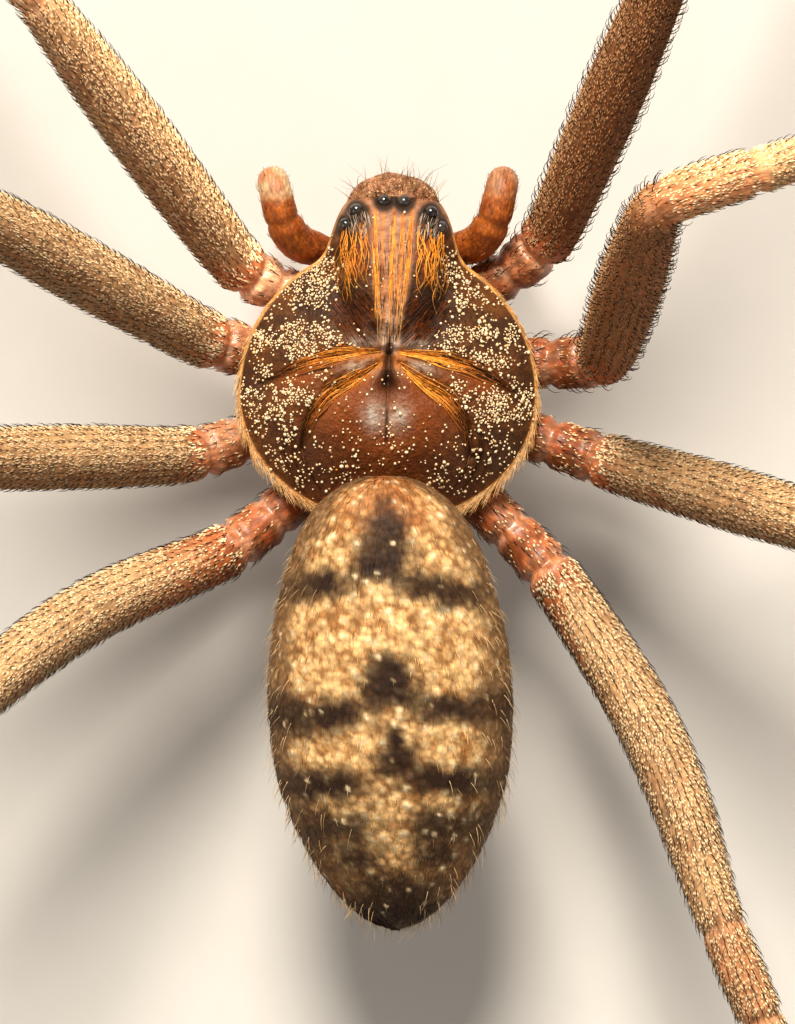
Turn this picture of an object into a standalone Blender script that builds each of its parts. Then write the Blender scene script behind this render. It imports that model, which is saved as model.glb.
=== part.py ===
"""Parram violin spider (Loxosceles parramae), a still, life-size model.

Sizes are in millimetres and angles in degrees. A mesh is turned to metres as it is made.
+Y is forward, +X is the spider's right, +Z is up, and the feet stand on z = 0.
Places are measured from the middle of the carapace, seen from above.
"""

from math import atan2, cos, exp, hypot, pi, radians, sin, sqrt

import bmesh
import bpy
from mathutils import Vector

# Units and fit
METRES = 0.001
GAP = 0.12
EYE_GAP = 0.03
UP = Vector((0.0, 0.0, 1.0))
RIGHT = Vector((1.0, 0.0, 0.0))

# Carapace: an oval shield with a narrow head in front
CARAPACE_HALF_WIDTH = 1.975
CARAPACE_FRONT_LENGTH = 1.975
CARAPACE_BACK_LENGTH = 1.68
CARAPACE_MIDDLE_Y = -0.12
HEAD_REACH = 0.745
HEAD_SPREAD = 21.0
HEAD_STEEPNESS = 9.0
FLANK_STEEPNESS = 2.3
BACK_STEEPNESS = 1.5
MARGIN_Z = 2.62
RIM_THICKNESS = 0.10
DOME_HEIGHT = 1.08
HEAD_DROP = 0.14
PROSOMA_TURN = -1.9
FURROW_FADE = 0.5
FURROW_EDGE = 4.0
CARAPACE_SIDES = 72
CARAPACE_RINGS = (0.97, 0.92, 0.87, 0.81, 0.75, 0.69, 0.63, 0.57, 0.51, 0.45, 0.38, 0.31, 0.23, 0.15, 0.07)

# Furrows of the carapace, right side, which the left mirrors: depth, half width and course
FURROWS = (
    (0.20, 0.15, ((0.0, 0.42), (0.0, 0.02))),
    (0.06, 0.12, ((0.0, 0.02), (0.0, -0.75))),
    (0.15, 0.15, ((0.12, 0.61), (0.51, 0.96), (0.85, 0.92), (1.50, 0.87))),
    (0.24, 0.24, ((0.45, 0.88), (0.58, 1.15))),
    (0.15, 0.14, ((0.62, 1.15), (0.76, 1.80))),
    (0.14, 0.13, ((0.11, 0.43), (0.62, 0.38), (1.11, 0.25), (1.67, -0.05))),
    (0.14, 0.13, ((0.14, 0.27), (0.52, -0.01), (0.77, -0.15), (1.05, -0.52), (1.10, -0.90))),
)

# Eyes: three pairs, each place as x and y on the head
EYE_RADIUS = 0.098
EYE_SINK = 0.02
EYES = {
    "eye_front_left": (-0.13, 2.40),
    "eye_front_right": (0.13, 2.40),
    "eye_left_inner": (-0.486, 2.27),
    "eye_left_outer": (-0.62, 2.075),
    "eye_right_inner": (0.486, 2.27),
    "eye_right_outer": (0.62, 2.075),
}

# Sternum, with the lip at its front, and the waist
STERNUM_TOP = 2.30
STERNUM_BOTTOM = 1.60
STERNUM_HALF_WIDTH = 0.82
STERNUM_HALF_LENGTH = 0.96
LIP_REACH = 0.42
LIP_SPREAD = 20.0
STERNUM_SIDES = 32
PEDICEL_PATH = ((0.0, -1.10, 2.06), (0.0, -1.86, 2.10), (0.02, -2.14, 2.37))
PEDICEL_RADIUS = 0.20

# Abdomen: an egg, seen from above, that overhangs the back of the carapace
ABDOMEN_FRONT = (-0.04, -1.19, 3.50)
ABDOMEN_BACK = (0.10, -7.12, 2.70)
ABDOMEN_HALF_WIDTH = 1.62
ABDOMEN_RISE = 1.16
ABDOMEN_DEPTH = 1.36
ABDOMEN_BACK_TAPER = 0.25
ABDOMEN_BACK_TAPER_FROM = 0.3
ABDOMEN_FRONT_FULLNESS = 0.56
ABDOMEN_FRONT_FULL_TO = 0.5
ABDOMEN_CURVE = 1.5
ABDOMEN_TUCK = 0.6
ABDOMEN_TUCK_LENGTH = 0.13
ABDOMEN_SIDES = 32
ABDOMEN_RINGS = 20

# Legs: radii at the start, middle and end of each length, and rings along each
LEG_RINGS = {"coxa": 10, "femur": 11, "patella": 6, "tibia": 8, "foot": 12}
COXA_RADII = (0.29, 0.34, 0.36)
WAIST_AT = 0.66
WAIST_LENGTH = 0.07
WAIST_DEPTH = 0.12
FEMUR_RADII = (0.37, 0.44, 0.31)
PATELLA_RADII = (0.31, 0.33, 0.29)
TIBIA_RADII = (0.29, 0.29, 0.25)
FOOT_RADII = (0.255, 0.25, 0.12)
THICKNESS = {1: 0.95, 2: 1.0, 3: 0.96, 4: 0.95}
FEMUR_BOW = 0.14
FEMUR_EASE = 1.6
TARSUS_ANGLE = -34.0
FOOT_RISE = 0.05
KNEE_EASE = 0.62
LEG_SIDES = 10
COXA_Z = 1.97
LEG_LENGTHS = {
    1: (5.4, 1.4, 5.6, 5.4, 1.4),
    2: (5.8, 1.3, 5.8, 5.7, 1.4),
    3: (5.0, 1.3, 4.1, 5.1, 1.3),
    4: (5.4, 1.3, 5.3, 6.4, 1.5),
}
# Each leg: side, pair, coxa root x and y, femur base x, y and z, heading clockwise from forward,
# the climb of the femur, patella and tibia, the turn of the heading at the knee, and the side bow
LEGS = (
    ("left", 1, (-0.76, 1.00), (-1.87, 1.44, 2.20), -37.0, 36.0, 6.0, -20.0, 0.0, 0.0),
    ("left", 2, (-0.97, 0.33), (-2.27, 0.52, 2.20), -61.0, 40.0, 4.0, -24.0, -4.0, 0.0),
    ("left", 3, (-0.95, -0.33), (-2.46, -0.92, 2.20), -91.0, 38.0, 2.0, -24.0, -4.0, 0.0),
    ("left", 4, (-0.62, -0.95), (-2.00, -2.14, 2.20), -122.0, 32.0, 2.0, -18.0, -10.0, -0.40),
    ("right", 1, (0.76, 1.00), (2.06, 1.77, 2.25), 23.5, 38.0, 6.0, -22.0, 6.0, 0.0),
    ("right", 2, (0.97, 0.33), (2.84, 0.28, 2.35), 16.0, 69.0, -5.0, -32.0, 57.0, 0.0),
    ("right", 3, (0.95, -0.33), (2.78, -0.97, 2.25), 107.0, 38.0, 2.0, -24.0, 6.0, 0.0),
    ("right", 4, (0.62, -0.95), (2.12, -2.40, 2.20), 154.5, 17.0, -4.0, -13.0, 2.0, 0.36),
)

# Palps, chelicerae and maxillae, given for the right side and mirrored by a sign
PALP_PATH = ((0.80, 1.76, 2.03), (1.21, 1.87, 2.50), (1.39, 2.15, 2.79), (1.51, 2.68, 2.86),
             (1.51, 2.66, 1.90), (1.42, 2.56, 0.95))
PALP_EASES = (0.20, 0.20, 0.33, 0.40)
PALP_KNEE = 2
PALP_RADII = (0.20, 0.25, 0.25)
PALP_TIP_RADII = (0.24, 0.20, 0.09)
CHELICERA_PATH = ((0.28, 2.31, 2.38), (0.28, 2.46, 2.02), (0.25, 2.42, 1.30), (0.15, 2.30, 1.06))
CHELICERA_RADII = (0.21, 0.235, 0.07)
MAXILLA_PATH = ((0.50, 1.42, 1.84), (0.40, 1.74, 1.80), (0.25, 2.06, 1.80))
MAXILLA_RADII = (0.15, 0.17, 0.10)
CHELICERA_RINGS = 9
MAXILLA_RINGS = 6
PALP_RINGS = 9
PALP_TIP_RINGS = 12
WAIST_RINGS = 6
BODY_SIDES = 12

# Spinnerets: four cones on one root below the end of the abdomen, as side, height, length and radius
SPINNERET_ROOT = (0.10, -6.78, 2.10)
SPINNERET_ROOT_END = (0.10, -6.90, 1.95)
SPINNERET_ROOT_RADII = (0.17, 0.21, 0.17)
SPINNERET_DIRECTION = (0.0, -0.88, -0.47)
SPINNERETS = ((-0.10, 0.04, 0.38, 0.085), (0.10, 0.04, 0.38, 0.085),
              (-0.08, -0.08, 0.28, 0.065), (0.08, -0.08, 0.28, 0.065))
SPINNERET_SIDES = 10

# Colours as red, green and blue, with roughness
FINISHES = {
    "carapace": ((0.16, 0.07, 0.03), 0.45),
    "underside": ((0.35, 0.17, 0.08), 0.5),
    "abdomen": ((0.42, 0.31, 0.18), 0.8),
    "limb": ((0.30, 0.17, 0.09), 0.6),
    "joint": ((0.45, 0.16, 0.08), 0.4),
    "eye": ((0.02, 0.02, 0.02), 0.08),
}


def mix(start, end, share):
    """Return the value that lies a share of the way from start to end."""
    return start + (end - start) * share


def swell(share, radii):
    """Return the radius of a length that passes through a start, a middle and an end radius."""
    start, middle, end = radii
    if share < 0.5:
        return mix(start, middle, sin(share * pi))
    return mix(end, middle, sin(share * pi))


def heading(azimuth, climb):
    """Return the unit vector of a heading clockwise from forward and a climb above level."""
    level = cos(radians(climb))
    return Vector((level * sin(radians(azimuth)), level * cos(radians(azimuth)), sin(radians(climb))))


class Centreline:
    """A path through corners that are rounded, read by its length."""

    STEPS = 16
    REACH = 0.03

    def __init__(self, corners, eases):
        corners = [Vector(corner) for corner in corners]
        self.points = [corners[0]]
        self.corner_lengths = [0.0]
        middles = []
        for before, corner, after, ease in zip(corners, corners[1:], corners[2:], eases):
            reach = min(ease, 0.48 * (corner - before).length, 0.48 * (after - corner).length)
            start = corner + (before - corner).normalized() * reach
            end = corner + (after - corner).normalized() * reach
            for step in range(self.STEPS + 1):
                share = step / self.STEPS
                self.points.append(start.lerp(corner, share).lerp(corner.lerp(end, share), share))
            middles.append(len(self.points) - 1 - self.STEPS // 2)
        self.points.append(corners[-1])
        self.lengths = [0.0]
        for here, there in zip(self.points, self.points[1:]):
            self.lengths.append(self.lengths[-1] + (there - here).length)
        self.corner_lengths += [self.lengths[index] for index in middles]
        self.corner_lengths.append(self.lengths[-1])

    def point(self, length):
        """Return the point at a length, going straight on past either end."""
        index = 1
        while index < len(self.points) - 1 and self.lengths[index] < length:
            index += 1
        start, end = self.lengths[index - 1], self.lengths[index]
        share = (length - start) / (end - start)
        return self.points[index - 1] + (self.points[index] - self.points[index - 1]) * share

    def tangent(self, length):
        """Return the direction of travel at a length."""
        return (self.point(length + self.REACH) - self.point(length - self.REACH)).normalized()


def loft(rings):
    """Return a closed mesh through rings of points, with a flat face at each end."""
    mesh = bmesh.new()
    loops = [[mesh.verts.new(point) for point in ring] for ring in rings]
    count = len(rings[0])
    for near, far in zip(loops, loops[1:]):
        for index in range(count):
            after = (index + 1) % count
            mesh.faces.new((near[index], near[after], far[after], far[index]))
    mesh.faces.new(list(reversed(loops[0])))
    mesh.faces.new(loops[-1])
    bmesh.ops.recalc_face_normals(mesh, faces=mesh.faces)
    return mesh


def section(centre, tangent, side, half_width, half_height, sides):
    """Return a ring of points about a centre, square to the tangent."""
    side = (side - tangent * side.dot(tangent)).normalized()
    rise = side.cross(tangent)
    ring = []
    for index in range(sides):
        angle = 2.0 * pi * index / sides
        ring.append(centre + side * (half_width * cos(angle)) + rise * (half_height * sin(angle)))
    return ring


def limb(line, start, end, rings, radii, sides, side=None, waist=0.0):
    """Return a swelling tube along a centreline, with a side hint or level sides, and a waist if asked."""
    sections = []
    for index in range(rings):
        share = index / (rings - 1)
        length = mix(start, end, share)
        tangent = line.tangent(length)
        hint = side if side else tangent.cross(UP)
        radius = swell(share, radii) * (1.0 - waist * exp(-((share - WAIST_AT) / WAIST_LENGTH) ** 2))
        sections.append(section(line.point(length), tangent, hint, radius, radius, sides))
    return loft(sections)


def head_share(angle):
    """Return 1 straight ahead, falling to 0 away from the head."""
    return exp(-(angle / radians(HEAD_SPREAD)) ** 4)


def carapace_radius(angle):
    """Return the outline of the carapace at an angle from forward, about its middle."""
    length = CARAPACE_FRONT_LENGTH if cos(angle) > 0.0 else CARAPACE_BACK_LENGTH
    oval = 1.0 / hypot(sin(angle) / CARAPACE_HALF_WIDTH, cos(angle) / length)
    return oval + HEAD_REACH * head_share(angle)


def distance_to_course(x, y, course):
    """Return how far a place is from a course of straight stretches, and the share travelled."""
    best, travelled = 1e9, 0.0
    for index, ((x1, y1), (x2, y2)) in enumerate(zip(course, course[1:])):
        along_x, along_y = x2 - x1, y2 - y1
        share = ((x - x1) * along_x + (y - y1) * along_y) / (along_x ** 2 + along_y ** 2)
        share = min(1.0, max(0.0, share))
        away = hypot(x - x1 - share * along_x, y - y1 - share * along_y)
        if away < best:
            best, travelled = away, (index + share) / (len(course) - 1)
    return best, travelled


def furrow_depth(x, y):
    """Return how deep the fovea and the furrows lie below the dome."""
    deepest = 0.0
    for depth, half_width, course in FURROWS:
        away, travelled = distance_to_course(abs(x), y, course)
        fade = 1.0 - FURROW_FADE * travelled
        deepest = max(deepest, depth * fade * exp(-(away / half_width) ** 2))
    return deepest


def carapace_height(x, y):
    """Return the height of the carapace above the floor."""
    along = y - CARAPACE_MIDDLE_Y
    angle = atan2(x, along)
    share = min(1.0, hypot(x, along) / carapace_radius(angle))
    head = head_share(angle)
    back = max(0.0, -cos(angle)) ** 2
    steepness = mix(mix(FLANK_STEEPNESS, BACK_STEEPNESS, back), HEAD_STEEPNESS, head)
    dome = 1.0 - share ** steepness
    edge = min(1.0, FURROW_EDGE * (1.0 - share))
    return MARGIN_Z + dome * (DOME_HEIGHT - HEAD_DROP * head * share) - edge * furrow_depth(x, y)


def carapace_ring(share, height=None):
    """Return a ring of the carapace at a share of the way out to its margin."""
    ring = []
    for index in range(CARAPACE_SIDES):
        angle = 2.0 * pi * index / CARAPACE_SIDES
        turn = angle if angle <= pi else angle - 2.0 * pi
        radius = share * carapace_radius(turn)
        x = radius * sin(turn)
        y = CARAPACE_MIDDLE_Y + radius * cos(turn)
        ring.append(Vector((x, y, carapace_height(x, y) if height is None else height)))
    return ring


def sternum_ring(share, height):
    """Return a ring of the sternum, heart-shaped with the lip in front."""
    ring = []
    for index in range(STERNUM_SIDES):
        angle = 2.0 * pi * index / STERNUM_SIDES
        turn = angle if angle <= pi else angle - 2.0 * pi
        oval = 1.0 / hypot(sin(turn) / STERNUM_HALF_WIDTH, cos(turn) / STERNUM_HALF_LENGTH)
        radius = share * (oval + LIP_REACH * exp(-(turn / radians(LIP_SPREAD)) ** 4))
        ring.append(Vector((radius * sin(turn), radius * cos(turn), height)))
    return ring


def abdomen_section(share):
    """Return a ring of the abdomen at a share of its length."""
    place = 2.0 * share - 1.0
    size = sqrt(1.0 - place * place)
    taper = ABDOMEN_BACK_TAPER * max(0.0, place - ABDOMEN_BACK_TAPER_FROM) ** ABDOMEN_CURVE
    fullness = ABDOMEN_FRONT_FULLNESS * max(0.0, -place - ABDOMEN_FRONT_FULL_TO) ** ABDOMEN_CURVE
    size *= 1.0 - taper + fullness
    centre = Vector(ABDOMEN_FRONT).lerp(Vector(ABDOMEN_BACK), share)
    tuck = 1.0 - ABDOMEN_TUCK * exp(-share / ABDOMEN_TUCK_LENGTH)
    ring = []
    for index in range(ABDOMEN_SIDES):
        angle = 2.0 * pi * index / ABDOMEN_SIDES
        height = ABDOMEN_RISE if sin(angle) > 0.0 else ABDOMEN_DEPTH * tuck
        ring.append(centre + RIGHT * (size * ABDOMEN_HALF_WIDTH * cos(angle))
                    + UP * (size * height * sin(angle)))
    return ring


def turn_about_middle(mesh, angle):
    """Turn a mesh about the upright line through the middle of the carapace."""
    turned = radians(angle)
    for vertex in mesh.verts:
        x, y = vertex.co.x, vertex.co.y
        vertex.co.x = x * cos(turned) - y * sin(turned)
        vertex.co.y = x * sin(turned) + y * cos(turned)


def stand_on_floor(mesh):
    """Cut a mesh off level with the floor and close the cut with a flat."""
    geometry = mesh.verts[:] + mesh.edges[:] + mesh.faces[:]
    bmesh.ops.bisect_plane(mesh, geom=geometry, plane_co=(0, 0, 0), plane_no=UP, clear_inner=True)
    open_edges = [edge for edge in mesh.edges if edge.is_boundary]
    bmesh.ops.holes_fill(mesh, edges=open_edges, sides=0)
    bmesh.ops.recalc_face_normals(mesh, faces=mesh.faces)


def make_material(name, finish):
    """Return a material of its own for one object."""
    colour, roughness = FINISHES[finish]
    material = bpy.data.materials.new(name)
    material.use_nodes = True
    shader = material.node_tree.nodes["Principled BSDF"]
    shader.inputs["Base Color"].default_value = (*colour, 1.0)
    shader.inputs["Roughness"].default_value = roughness
    material.diffuse_color = (*colour, 1.0)
    return material


def add_object(name, mesh, finish, origin, collection):
    """Turn a mesh in millimetres to a named object in metres, with its origin where asked."""
    origin = Vector(origin)
    for vertex in mesh.verts:
        vertex.co = (vertex.co - origin) * METRES
    data = bpy.data.meshes.new(name)
    mesh.to_mesh(data)
    mesh.free()
    data.shade_smooth()
    data.set_sharp_from_angle(angle=radians(50.0))
    made = bpy.data.objects.new(name, data)
    made.location = origin * METRES
    made.data.materials.append(make_material(name, finish))
    collection.objects.link(made)
    return made


def add_carapace(parts, cutters):
    """Add the carapace, with a socket for each eye."""
    rings = [carapace_ring(0.96, MARGIN_Z - RIM_THICKNESS), carapace_ring(1.0)]
    rings += [carapace_ring(share) for share in CARAPACE_RINGS]
    mesh = loft(rings)
    turn_about_middle(mesh, PROSOMA_TURN)
    carapace = add_object("carapace", mesh, "carapace", (0, 0, 0), parts)
    sockets = carapace.modifiers.new("eye sockets", "BOOLEAN")
    sockets.operand_type = "COLLECTION"
    sockets.collection = cutters
    sockets.operation = "DIFFERENCE"
    sockets.solver = "EXACT"


def add_eyes(parts, cutters):
    """Add the six eyes and the cutters of their sockets."""
    for name, (x, y) in EYES.items():
        centre = Vector((x, y, carapace_height(x, y) - EYE_SINK))
        for radius, ball_name, collection in ((EYE_RADIUS, name, parts),
                                              (EYE_RADIUS + EYE_GAP, name + "_socket", cutters)):
            ball = bmesh.new()
            bmesh.ops.create_uvsphere(ball, u_segments=12, v_segments=8, radius=radius)
            bmesh.ops.translate(ball, verts=ball.verts, vec=centre)
            turn_about_middle(ball, PROSOMA_TURN)
            made = add_object(ball_name, ball, "eye", (0, 0, 0), collection)
            if collection is cutters:
                made.hide_render = True
                made.display_type = "WIRE"


def add_underside(parts):
    """Add the sternum with its lip, and the waist."""
    shape = ((0.80, STERNUM_BOTTOM), (0.95, STERNUM_BOTTOM + 0.08), (1.0, STERNUM_BOTTOM + 0.22),
             (1.0, STERNUM_TOP - 0.15), (0.9, STERNUM_TOP))
    mesh = loft([sternum_ring(share, height) for share, height in shape])
    add_object("sternum", mesh, "underside", (0, 0, STERNUM_BOTTOM), parts)
    waist = Centreline(PEDICEL_PATH, (0.2,))
    radii = (PEDICEL_RADIUS, 0.9 * PEDICEL_RADIUS, PEDICEL_RADIUS)
    mesh = limb(waist, 0.0, waist.lengths[-1], WAIST_RINGS, radii, BODY_SIDES)
    add_object("pedicel", mesh, "underside", PEDICEL_PATH[0], parts)


def add_abdomen(parts):
    """Add the abdomen."""
    shares = [0.5 - 0.5 * cos(pi * (index + 0.6) / (ABDOMEN_RINGS + 0.2)) for index in range(ABDOMEN_RINGS)]
    add_object("abdomen", loft([abdomen_section(share) for share in shares]), "abdomen",
               ABDOMEN_FRONT, parts)


def add_spinnerets(parts):
    """Add the spinnerets, four cones fused to one root."""
    pieces = bpy.data.collections.new("spinneret pieces")
    root = Centreline((SPINNERET_ROOT, SPINNERET_ROOT_END), ())
    base = limb(root, 0.0, root.lengths[-1], 4, SPINNERET_ROOT_RADII, BODY_SIDES, RIGHT)
    spinnerets = add_object("spinnerets", base, "underside", SPINNERET_ROOT, parts)
    for index, (across, height, length, radius) in enumerate(SPINNERETS):
        start = Vector(SPINNERET_ROOT_END) + Vector((0.8 * across, 0.04, height))
        spread = Vector((across, 0.0, height))
        end = start + (Vector(SPINNERET_DIRECTION) + spread).normalized() * length
        line = Centreline((start, end), ())
        cone = limb(line, 0.0, line.lengths[-1], 4, (radius, radius, 0.45 * radius), SPINNERET_SIDES)
        add_object(f"spinneret_piece_{index}", cone, "underside", (0, 0, 0), pieces)
    union = spinnerets.modifiers.new("cones", "BOOLEAN")
    union.operand_type = "COLLECTION"
    union.collection = pieces
    union.operation = "UNION"
    union.solver = "EXACT"
    bpy.context.scene.collection.children.link(pieces)
    bpy.context.view_layer.update()
    graph = bpy.context.evaluated_depsgraph_get()
    joined = bpy.data.meshes.new_from_object(spinnerets.evaluated_get(graph))
    spinnerets.modifiers.clear()
    spinnerets.data = joined
    for piece in list(pieces.objects):
        bpy.data.objects.remove(piece)
    bpy.data.collections.remove(pieces)


def add_mouthparts(parts):
    """Add the chelicerae, maxillae and palps of both sides."""
    for name, sign in (("left", -1.0), ("right", 1.0)):
        chelicera = Centreline([(sign * x, y, z) for x, y, z in CHELICERA_PATH], (0.3, 0.3))
        mesh = limb(chelicera, 0.0, chelicera.lengths[-1], CHELICERA_RINGS, CHELICERA_RADII, BODY_SIDES, RIGHT)
        turn_about_middle(mesh, PROSOMA_TURN)
        add_object(f"chelicera_{name}", mesh, "joint", (0, 0, 0), parts)
        maxilla = Centreline([(sign * x, y, z) for x, y, z in MAXILLA_PATH], (0.2,))
        mesh = limb(maxilla, 0.0, maxilla.lengths[-1], MAXILLA_RINGS, MAXILLA_RADII, BODY_SIDES, RIGHT)
        turn_about_middle(mesh, PROSOMA_TURN)
        add_object(f"maxilla_{name}", mesh, "joint", (0, 0, 0), parts)
        palp = Centreline([(sign * x, y, z) for x, y, z in PALP_PATH], PALP_EASES)
        knee = palp.corner_lengths[PALP_KNEE]
        mesh = limb(palp, 0.0, knee - GAP / 2, PALP_RINGS, PALP_RADII, BODY_SIDES, RIGHT)
        add_object(f"palp_{name}_femur", mesh, "limb", PALP_PATH[0], parts)
        mesh = limb(palp, knee + GAP / 2, palp.lengths[-1], PALP_TIP_RINGS, PALP_TIP_RADII,
                    BODY_SIDES, RIGHT)
        add_object(f"palp_{name}_tip", mesh, "limb", palp.point(knee), parts)


def leg_corners(leg):
    """Return the corners of a leg's centreline, from the root of the coxa to the tip of the foot."""
    side_name, pair, root, base, azimuth, femur_climb, patella_climb, tibia_climb, turn, bow = leg
    femur, patella, tibia, metatarsus, tarsus = LEG_LENGTHS[pair]
    base = Vector(base)
    knee = base + heading(azimuth, femur_climb) * femur
    middle = base.lerp(knee, 0.5) + UP * FEMUR_BOW - heading(azimuth + 90.0, 0.0) * bow
    past_knee = azimuth + turn
    shin_top = knee + heading(past_knee, patella_climb) * patella
    ankle = shin_top + heading(past_knee, tibia_climb) * tibia
    tarsus_drop = tarsus * sin(radians(TARSUS_ANGLE))
    fall = (FOOT_RISE - ankle.z - tarsus_drop) / metatarsus
    level = sqrt(1.0 - fall * fall)
    along = heading(past_knee, 0.0)
    tarsus_start = ankle + along * (metatarsus * level) + UP * (metatarsus * fall)
    tip = tarsus_start + heading(past_knee, TARSUS_ANGLE) * tarsus
    return [Vector((*root, COXA_Z)), base, middle, knee, shin_top, ankle, tarsus_start, tip]


def add_leg(leg, parts):
    """Add the five lengths of one leg."""
    line = Centreline(leg_corners(leg), (KNEE_EASE, FEMUR_EASE) + (KNEE_EASE,) * 4)
    root, base, middle, knee, shin_top, ankle, tarsus_start, tip = line.corner_lengths
    lengths = (
        ("coxa", root, base, COXA_RADII, "joint"),
        ("femur", base, knee, FEMUR_RADII, "limb"),
        ("patella", knee, shin_top, PATELLA_RADII, "joint"),
        ("tibia", shin_top, ankle, TIBIA_RADII, "limb"),
        ("foot", ankle, tip, FOOT_RADII, "limb"),
    )
    for name, start, end, radii, finish in lengths:
        near = start if name == "coxa" else start + GAP / 2
        far = end if name == "foot" else end - GAP / 2
        radii = [THICKNESS[leg[1]] * radius for radius in radii]
        waist = WAIST_DEPTH if name == "coxa" else 0.0
        mesh = limb(line, near, far, LEG_RINGS[name], radii, LEG_SIDES, waist=waist)
        if name == "foot":
            stand_on_floor(mesh)
        add_object(f"leg_{leg[0]}_{leg[1]}_{name}", mesh, finish, line.point(start), parts)


def centre_on_origin(parts):
    """Hang every part from one empty that brings the middle of the whole over the origin."""
    bpy.context.view_layer.update()
    corners = []
    for made in parts.objects:
        corners += [made.matrix_world @ vertex.co for vertex in made.data.vertices]
    middle_x = (min(corner.x for corner in corners) + max(corner.x for corner in corners)) / 2.0
    middle_y = (min(corner.y for corner in corners) + max(corner.y for corner in corners)) / 2.0
    holder = bpy.data.objects.new("violin_spider_origin", None)
    holder.location = (-middle_x, -middle_y, 0.0)
    bpy.context.scene.collection.objects.link(holder)
    for collection in bpy.data.collections:
        for made in collection.objects:
            made.parent = holder


def main():
    """Build the spider."""
    for old in list(bpy.data.objects):
        bpy.data.objects.remove(old, do_unlink=True)
    parts = bpy.data.collections.new("parram violin spider")
    cutters = bpy.data.collections.new("cutters")
    bpy.context.scene.collection.children.link(parts)
    bpy.context.scene.collection.children.link(cutters)
    add_carapace(parts, cutters)
    add_eyes(parts, cutters)
    add_underside(parts)
    add_abdomen(parts)
    add_spinnerets(parts)
    add_mouthparts(parts)
    for leg in LEGS:
        add_leg(leg, parts)
    centre_on_origin(parts)


main()
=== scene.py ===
"""Parram violin spider, a still, life-size model: the looks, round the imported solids.

Sizes are in millimetres until a mesh is made. Places are those of the part's source: +Y is
forward, +X is the spider's right, and they are measured from the middle of the carapace.
"""
from itertools import product
from math import pi, radians
from typing import NamedTuple

import bpy
import numpy as np
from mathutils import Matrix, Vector


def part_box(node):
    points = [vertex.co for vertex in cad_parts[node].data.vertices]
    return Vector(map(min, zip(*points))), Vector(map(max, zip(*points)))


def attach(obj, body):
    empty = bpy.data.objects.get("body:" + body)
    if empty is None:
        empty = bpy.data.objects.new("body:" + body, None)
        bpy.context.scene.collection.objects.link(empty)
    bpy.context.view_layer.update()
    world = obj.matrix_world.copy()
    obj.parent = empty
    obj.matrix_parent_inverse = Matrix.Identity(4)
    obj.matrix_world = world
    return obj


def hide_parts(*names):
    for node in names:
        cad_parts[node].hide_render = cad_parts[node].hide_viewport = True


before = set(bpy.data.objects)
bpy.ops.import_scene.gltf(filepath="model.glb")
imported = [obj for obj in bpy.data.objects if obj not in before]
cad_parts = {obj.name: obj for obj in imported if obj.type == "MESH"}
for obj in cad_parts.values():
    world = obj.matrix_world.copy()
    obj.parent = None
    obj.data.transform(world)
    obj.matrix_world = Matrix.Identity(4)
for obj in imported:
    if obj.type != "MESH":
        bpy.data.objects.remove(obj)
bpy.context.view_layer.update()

METRES = 0.001
UP = np.array([0.0, 0.0, 1.0])
RIGHT = np.array([1.0, 0.0, 0.0])
random = np.random.default_rng(20261127)
uniform, normal = random.uniform, random.normal
scene = bpy.context.scene
STRETCH = 0.45          # how much the skin's cells are drawn out along a limb
ISOTROPIC = np.array([1.0 / STRETCH, 1.0, 1.0])
FLOOR_GAP, STRAND_GAP = 0.002, 0.008    # how far points and the middles of strands stay off the floor

# The part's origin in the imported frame, read from the sternum, whose box is known
STERNUM_MIDDLE_Y = 0.21
sternum_low, sternum_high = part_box("sternum")
OFFSET = np.array([(sternum_low.x + sternum_high.x) / 2,
                   (sternum_low.y + sternum_high.y) / 2 - STERNUM_MIDDLE_Y * METRES, 0.0])

# Where each surface lies on the unwrap: x, y, width and height
ATLAS = {"carapace": (0.01, 0.58, 0.40, 0.40), "abdomen": (0.43, 0.36, 0.56, 0.39),
         "below": (0.43, 0.77, 0.20, 0.21), "eye": (0.02, 0.02, 0.96, 0.96)}
ATLAS |= {f"leg_{index}": (0.01, 0.005 + 0.042 * index, 0.98, 0.036) for index in range(8)}
ATLAS |= {f"small_{index}": (0.65, 0.77 + 0.022 * index, 0.34, 0.019) for index in range(10)}
PATCH = 0.0015          # half the width of a hair's own place on the unwrap

# -------------------- sizes shared with the source
HALF_WIDTH, FRONT_LENGTH, BACK_LENGTH, MIDDLE_Y = 1.975, 1.975, 1.68, -0.12
HEAD_REACH, HEAD_SPREAD = 0.745, 21.0
HEAD_STEEPNESS, FLANK_STEEPNESS, BACK_STEEPNESS = 9.0, 2.3, 1.5
MARGIN_Z, DOME_HEIGHT, HEAD_DROP, PROSOMA_TURN = 2.62, 1.08, 0.14, -1.9
FURROWS = (  # depth, half width and the places that each passes through
    (0.20, 0.15, ((0.0, 0.42), (0.0, 0.02))),
    (0.06, 0.12, ((0.0, 0.02), (0.0, -0.75))),
    (0.15, 0.15, ((0.12, 0.61), (0.51, 0.96), (0.85, 0.92), (1.50, 0.87))),
    (0.24, 0.24, ((0.45, 0.88), (0.58, 1.15))),
    (0.15, 0.14, ((0.62, 1.15), (0.76, 1.80))),
    (0.14, 0.13, ((0.11, 0.43), (0.62, 0.38), (1.11, 0.25), (1.67, -0.05))),
    (0.14, 0.13, ((0.14, 0.27), (0.52, -0.01), (0.77, -0.15), (1.05, -0.52), (1.10, -0.90))),
)
PIT, MIDLINE, HOLLOW_EDGE, HOLLOW, HEAD_SIDE, FRONT_FURROW, REAR_FURROW = range(len(FURROWS))
EYE_RADIUS, EYE_SINK = 0.098, 0.02
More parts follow.
